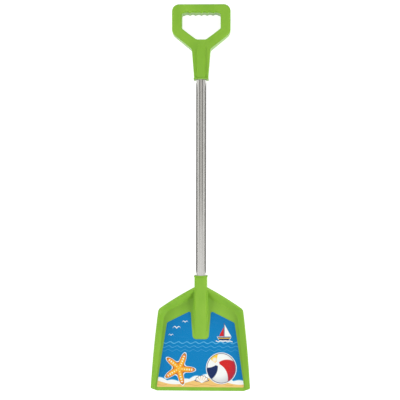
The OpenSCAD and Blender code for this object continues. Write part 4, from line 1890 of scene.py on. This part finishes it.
@dataclass
class Studio:
    """White floor and background, soft lamps, cards that the steel mirrors, and the camera."""

    camera_far: float = 1.5
    camera_high: float = 0.3287
    azimuth: float = 1.5
    roll: float = 0.1
    lens: float = 75.0
    sensor: float = 36.0
    clip_end: float = 200.0
    shift: tuple[float, float] = (-0.0026, 0.0125)
    fill: float = 0.345
    floor_size: float = 60.0
    card_far: float = 15.0
    card_tall: float = 9.0
    floor_shade: float = 0.93
    floor_glow: float = 1.55
    floor_seen: float = 0.55
    card_steps: int = 16
    card_low: float = 0.002
    card_gap: float = 0.001
    card_shares: Colour = (1.0, 0.985, 0.95)
    # Both ends of each card, in degrees from the camera's side, and its brightness.
    front_card: tuple[float, float, float] = (-15.0, 15.0, 0.62)
    dark_card: tuple[float, float, float] = (20.0, 50.0, 0.28)
    edge_card: tuple[float, float, float] = (78.0, 90.0, 0.25)
    # Both ends of the dark card on the floor under the tube, in metres up the shovel, and its
    # brightness: a painted shadow that only mirrors see, so that the tube's edges mirror a shaded
    # floor.
    painted_shadow_card: tuple[float, float, float] = (0.205, 0.551, 0.2)
    under_half_w: float = 0.11
    # Name, place, size and power of each lamp.
    lamps: tuple[tuple[str, tuple[float, float, float], float, float], ...] = (
        ("lamp_top_left", (-1.5, -0.75, 1.7), 0.8, 19.0),
        ("lamp_top_right", (1.5, -0.75, 1.7), 0.8, 9.5),
        ("lamp_low_left", (-1.5, -0.75, -0.6), 0.7, 13.0),
        ("lamp_low_right", (1.5, -0.75, -0.6), 0.7, 21.5),
        ("lamp_front", (0.0, -2.0, 0.33), 1.2, 6.5))

    def seen(self, bench: NodeBench) -> Signal:
        """Returns 1 for rays that show the background: camera, glossy and transmission rays.

        Args:
            bench: The material's bench.

        Returns:
            The signal.
        """
        path = bench.node("ShaderNodeLightPath")
        return bench.high(*(Signal(bench, path.outputs[n]) for n in (
            "Is Camera Ray", "Is Glossy Ray", "Is Transmission Ray")))

    def world(self) -> None:
        """Makes the white background and its soft light."""
        world = bpy.data.worlds.new("white_studio")
        bpy.context.scene.world = world
        world.use_nodes = True
        bench = NodeBench(world.node_tree)
        strength = self.seen(bench) * (1 - self.fill) + self.fill
        glow = bench.signal("ShaderNodeBackground", {}, {"Color": (1, 1, 1, 1),
                                                         "Strength": strength})
        bench.node("ShaderNodeOutputWorld", {}, {"Surface": glow})

    def floor(self) -> None:
        """Makes the white floor, which keeps the shadow."""
        half = self.floor_size / 2 / MM
        floor = make_object("floor", np.array([[x, GROUND_Y, z] for x, z in (
            (-half, -half), (half, -half), (half, half), (-half, half))]), [(0, 1, 2, 3)])
        material, bench = new_material("white_floor")
        matt = bench.signal("ShaderNodeBsdfDiffuse", {}, {"Color": (*[self.floor_shade] * 3, 1)})
        glow = bench.signal("ShaderNodeEmission", {}, {"Color": (1, 1, 1, 1),
                                                       "Strength": self.floor_glow})
        bench.surface(bench.signal("ShaderNodeMixShader", {}, {
            0: self.seen(bench) * self.floor_seen, 1: matt, 2: glow}))
        floor.data.materials.append(material)

    def card(self, name: str, corners: Sequence[tuple[Point, Point]], level: float) -> None:
        """Makes a card that only mirrors see.

        Args:
            name: Name of the card.
            corners: Both ends of each step along the card, in metres.
            level: Brightness of the card.
        """
        points = np.array([p for pair in corners for p in pair]) / MM
        faces = [(2 * k, 2 * k + 1, 2 * k + 3, 2 * k + 2) for k in range(len(corners) - 1)]
        card = make_object(name, points, faces)
        material, bench = new_material(name)
        bench.surface(bench.signal("ShaderNodeEmission", {}, {
            "Color": (*scaled((level,) * 3, self.card_shares), 1), "Strength": 1.0}))
        card.data.materials.append(material)
        card.visible_camera = card.visible_diffuse = card.visible_shadow = False
        card.visible_transmission = False

    def arched(self, name: str, start: float, stop: float, level: float, low: float) -> None:
        """Arches a card over the shovel.

        Args:
            name: Name of the card.
            start: Angle of its first end from the camera's side, in degrees.
            stop: Angle of its last end.
            level: Brightness of the card.
            low: Height of its lower edge up the shovel, in metres.
        """
        steps = [math.radians(start + (stop - start) * k / self.card_steps)
                 for k in range(self.card_steps + 1)]
        far = self.card_far
        self.card(name, [tuple(np.array([far * math.sin(a), -far * math.cos(a), z])
                               for z in (low, self.card_tall)) for a in steps], level)

    def lamp(self, name: str, place: Sequence[float], size: float, power: float) -> None:
        """Hangs one soft lamp, aimed at the middle of the shovel, which mirrors don't see.

        Args:
            name: Name of the lamp.
            place: Where it hangs, in metres of the upright shovel.
            size: Length of its sides.
            power: Its power in watts.
        """
        data = bpy.data.lights.new(name, "AREA")
        data.shape = "SQUARE"
        data.size = size
        data.energy = power
        lamp = bpy.data.objects.new(name, data)
        turn = (Vector((0.0, 0.0, self.camera_high)) - Vector(place)).to_track_quat("-Z", "Y")
        lamp.matrix_world = LAID @ Matrix.Translation(place) @ turn.to_matrix().to_4x4()
        lamp.visible_camera = lamp.visible_glossy = False
        bpy.context.scene.collection.objects.link(lamp)

    def camera(self) -> None:
        """Makes the camera at the photograph's viewing angle."""
        data = bpy.data.cameras.new("camera")
        data.sensor_width = self.sensor
        data.lens = self.lens
        data.shift_x, data.shift_y = self.shift
        data.clip_end = self.clip_end
        camera = bpy.data.objects.new("camera", data)
        turn = math.radians(self.azimuth)
        camera.matrix_world = (
            LAID
            @ Matrix.Translation((self.camera_far * math.sin(turn),
                                  -self.camera_far * math.cos(turn), self.camera_high))
            @ Matrix.Rotation(turn, 4, "Z") @ Matrix.Rotation(math.pi / 2, 4, "X")
            @ Matrix.Rotation(math.radians(self.roll), 4, "Z"))
        bpy.context.scene.collection.objects.link(camera)
        bpy.context.scene.camera = camera

    def build(self) -> None:
        """Sets up the whole studio."""
        bpy.context.scene.view_settings.view_transform = "Standard"
        self.world()
        self.floor()
        start, stop, level = self.front_card
        self.arched("card_front", start, stop, level, self.card_low)
        for side, sign in (("left", -1.0), ("right", 1.0)):
            start, stop, level = self.dark_card
            self.arched(f"card_dark_{side}", sign * start, sign * stop, level, self.card_low)
            start, stop, level = self.edge_card
            self.arched(f"card_edge_{side}", sign * start, sign * stop, level, -self.card_tall)
        # A dark card just above the floor under the tube, seen only in reflections: a painted
        # shadow of the floor in the steel.
        start, stop, level = self.painted_shadow_card
        depth = GROUND_Y * MM - self.card_gap
        self.card("card_under", [tuple(np.array([x, depth, z]) for z in (start, stop))
                                 for x in (-self.under_half_w, self.under_half_w)], level)
        for name, place, size, power in self.lamps:
            self.lamp(name, place, size, power)
        self.camera()


def dress_node(name: str, material: bpy.types.Material) -> None:
    """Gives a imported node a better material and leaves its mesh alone.

    Args:
        name: The node's name.
        material: Its new material.
    """
    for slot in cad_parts[name].material_slots:
        slot.link = "OBJECT"
        slot.material = material
    LOG.info("%s: dressed with %s", name, material.name)


def main() -> None:
    """Builds, dresses and hands over every piece, then sets up the studio."""
    logging.basicConfig(level=logging.INFO, format="%(name)s: %(message)s")
    plastic = MouldedPlastic("moulded_plastic").build()
    steel = PolishedSteel("polished_steel_tube").build()
    zinc = ZincScrew("zinc_screw").build()
    film = PrintedFilm("beach_print_film").build()
    hand_over(Blade().build(plastic), ["blade"])
    hand_over(Grip().build(plastic), ["grip"])
    shaft = Shaft()
    hand_over(shaft.tube(steel), ["tube"])
    hand_over(shaft.screws(zinc), ["blade_screw", "grip_screw"])
    dress_node("label", film)
    Studio().build()
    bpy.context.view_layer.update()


if __name__ == "__main__":
    main()
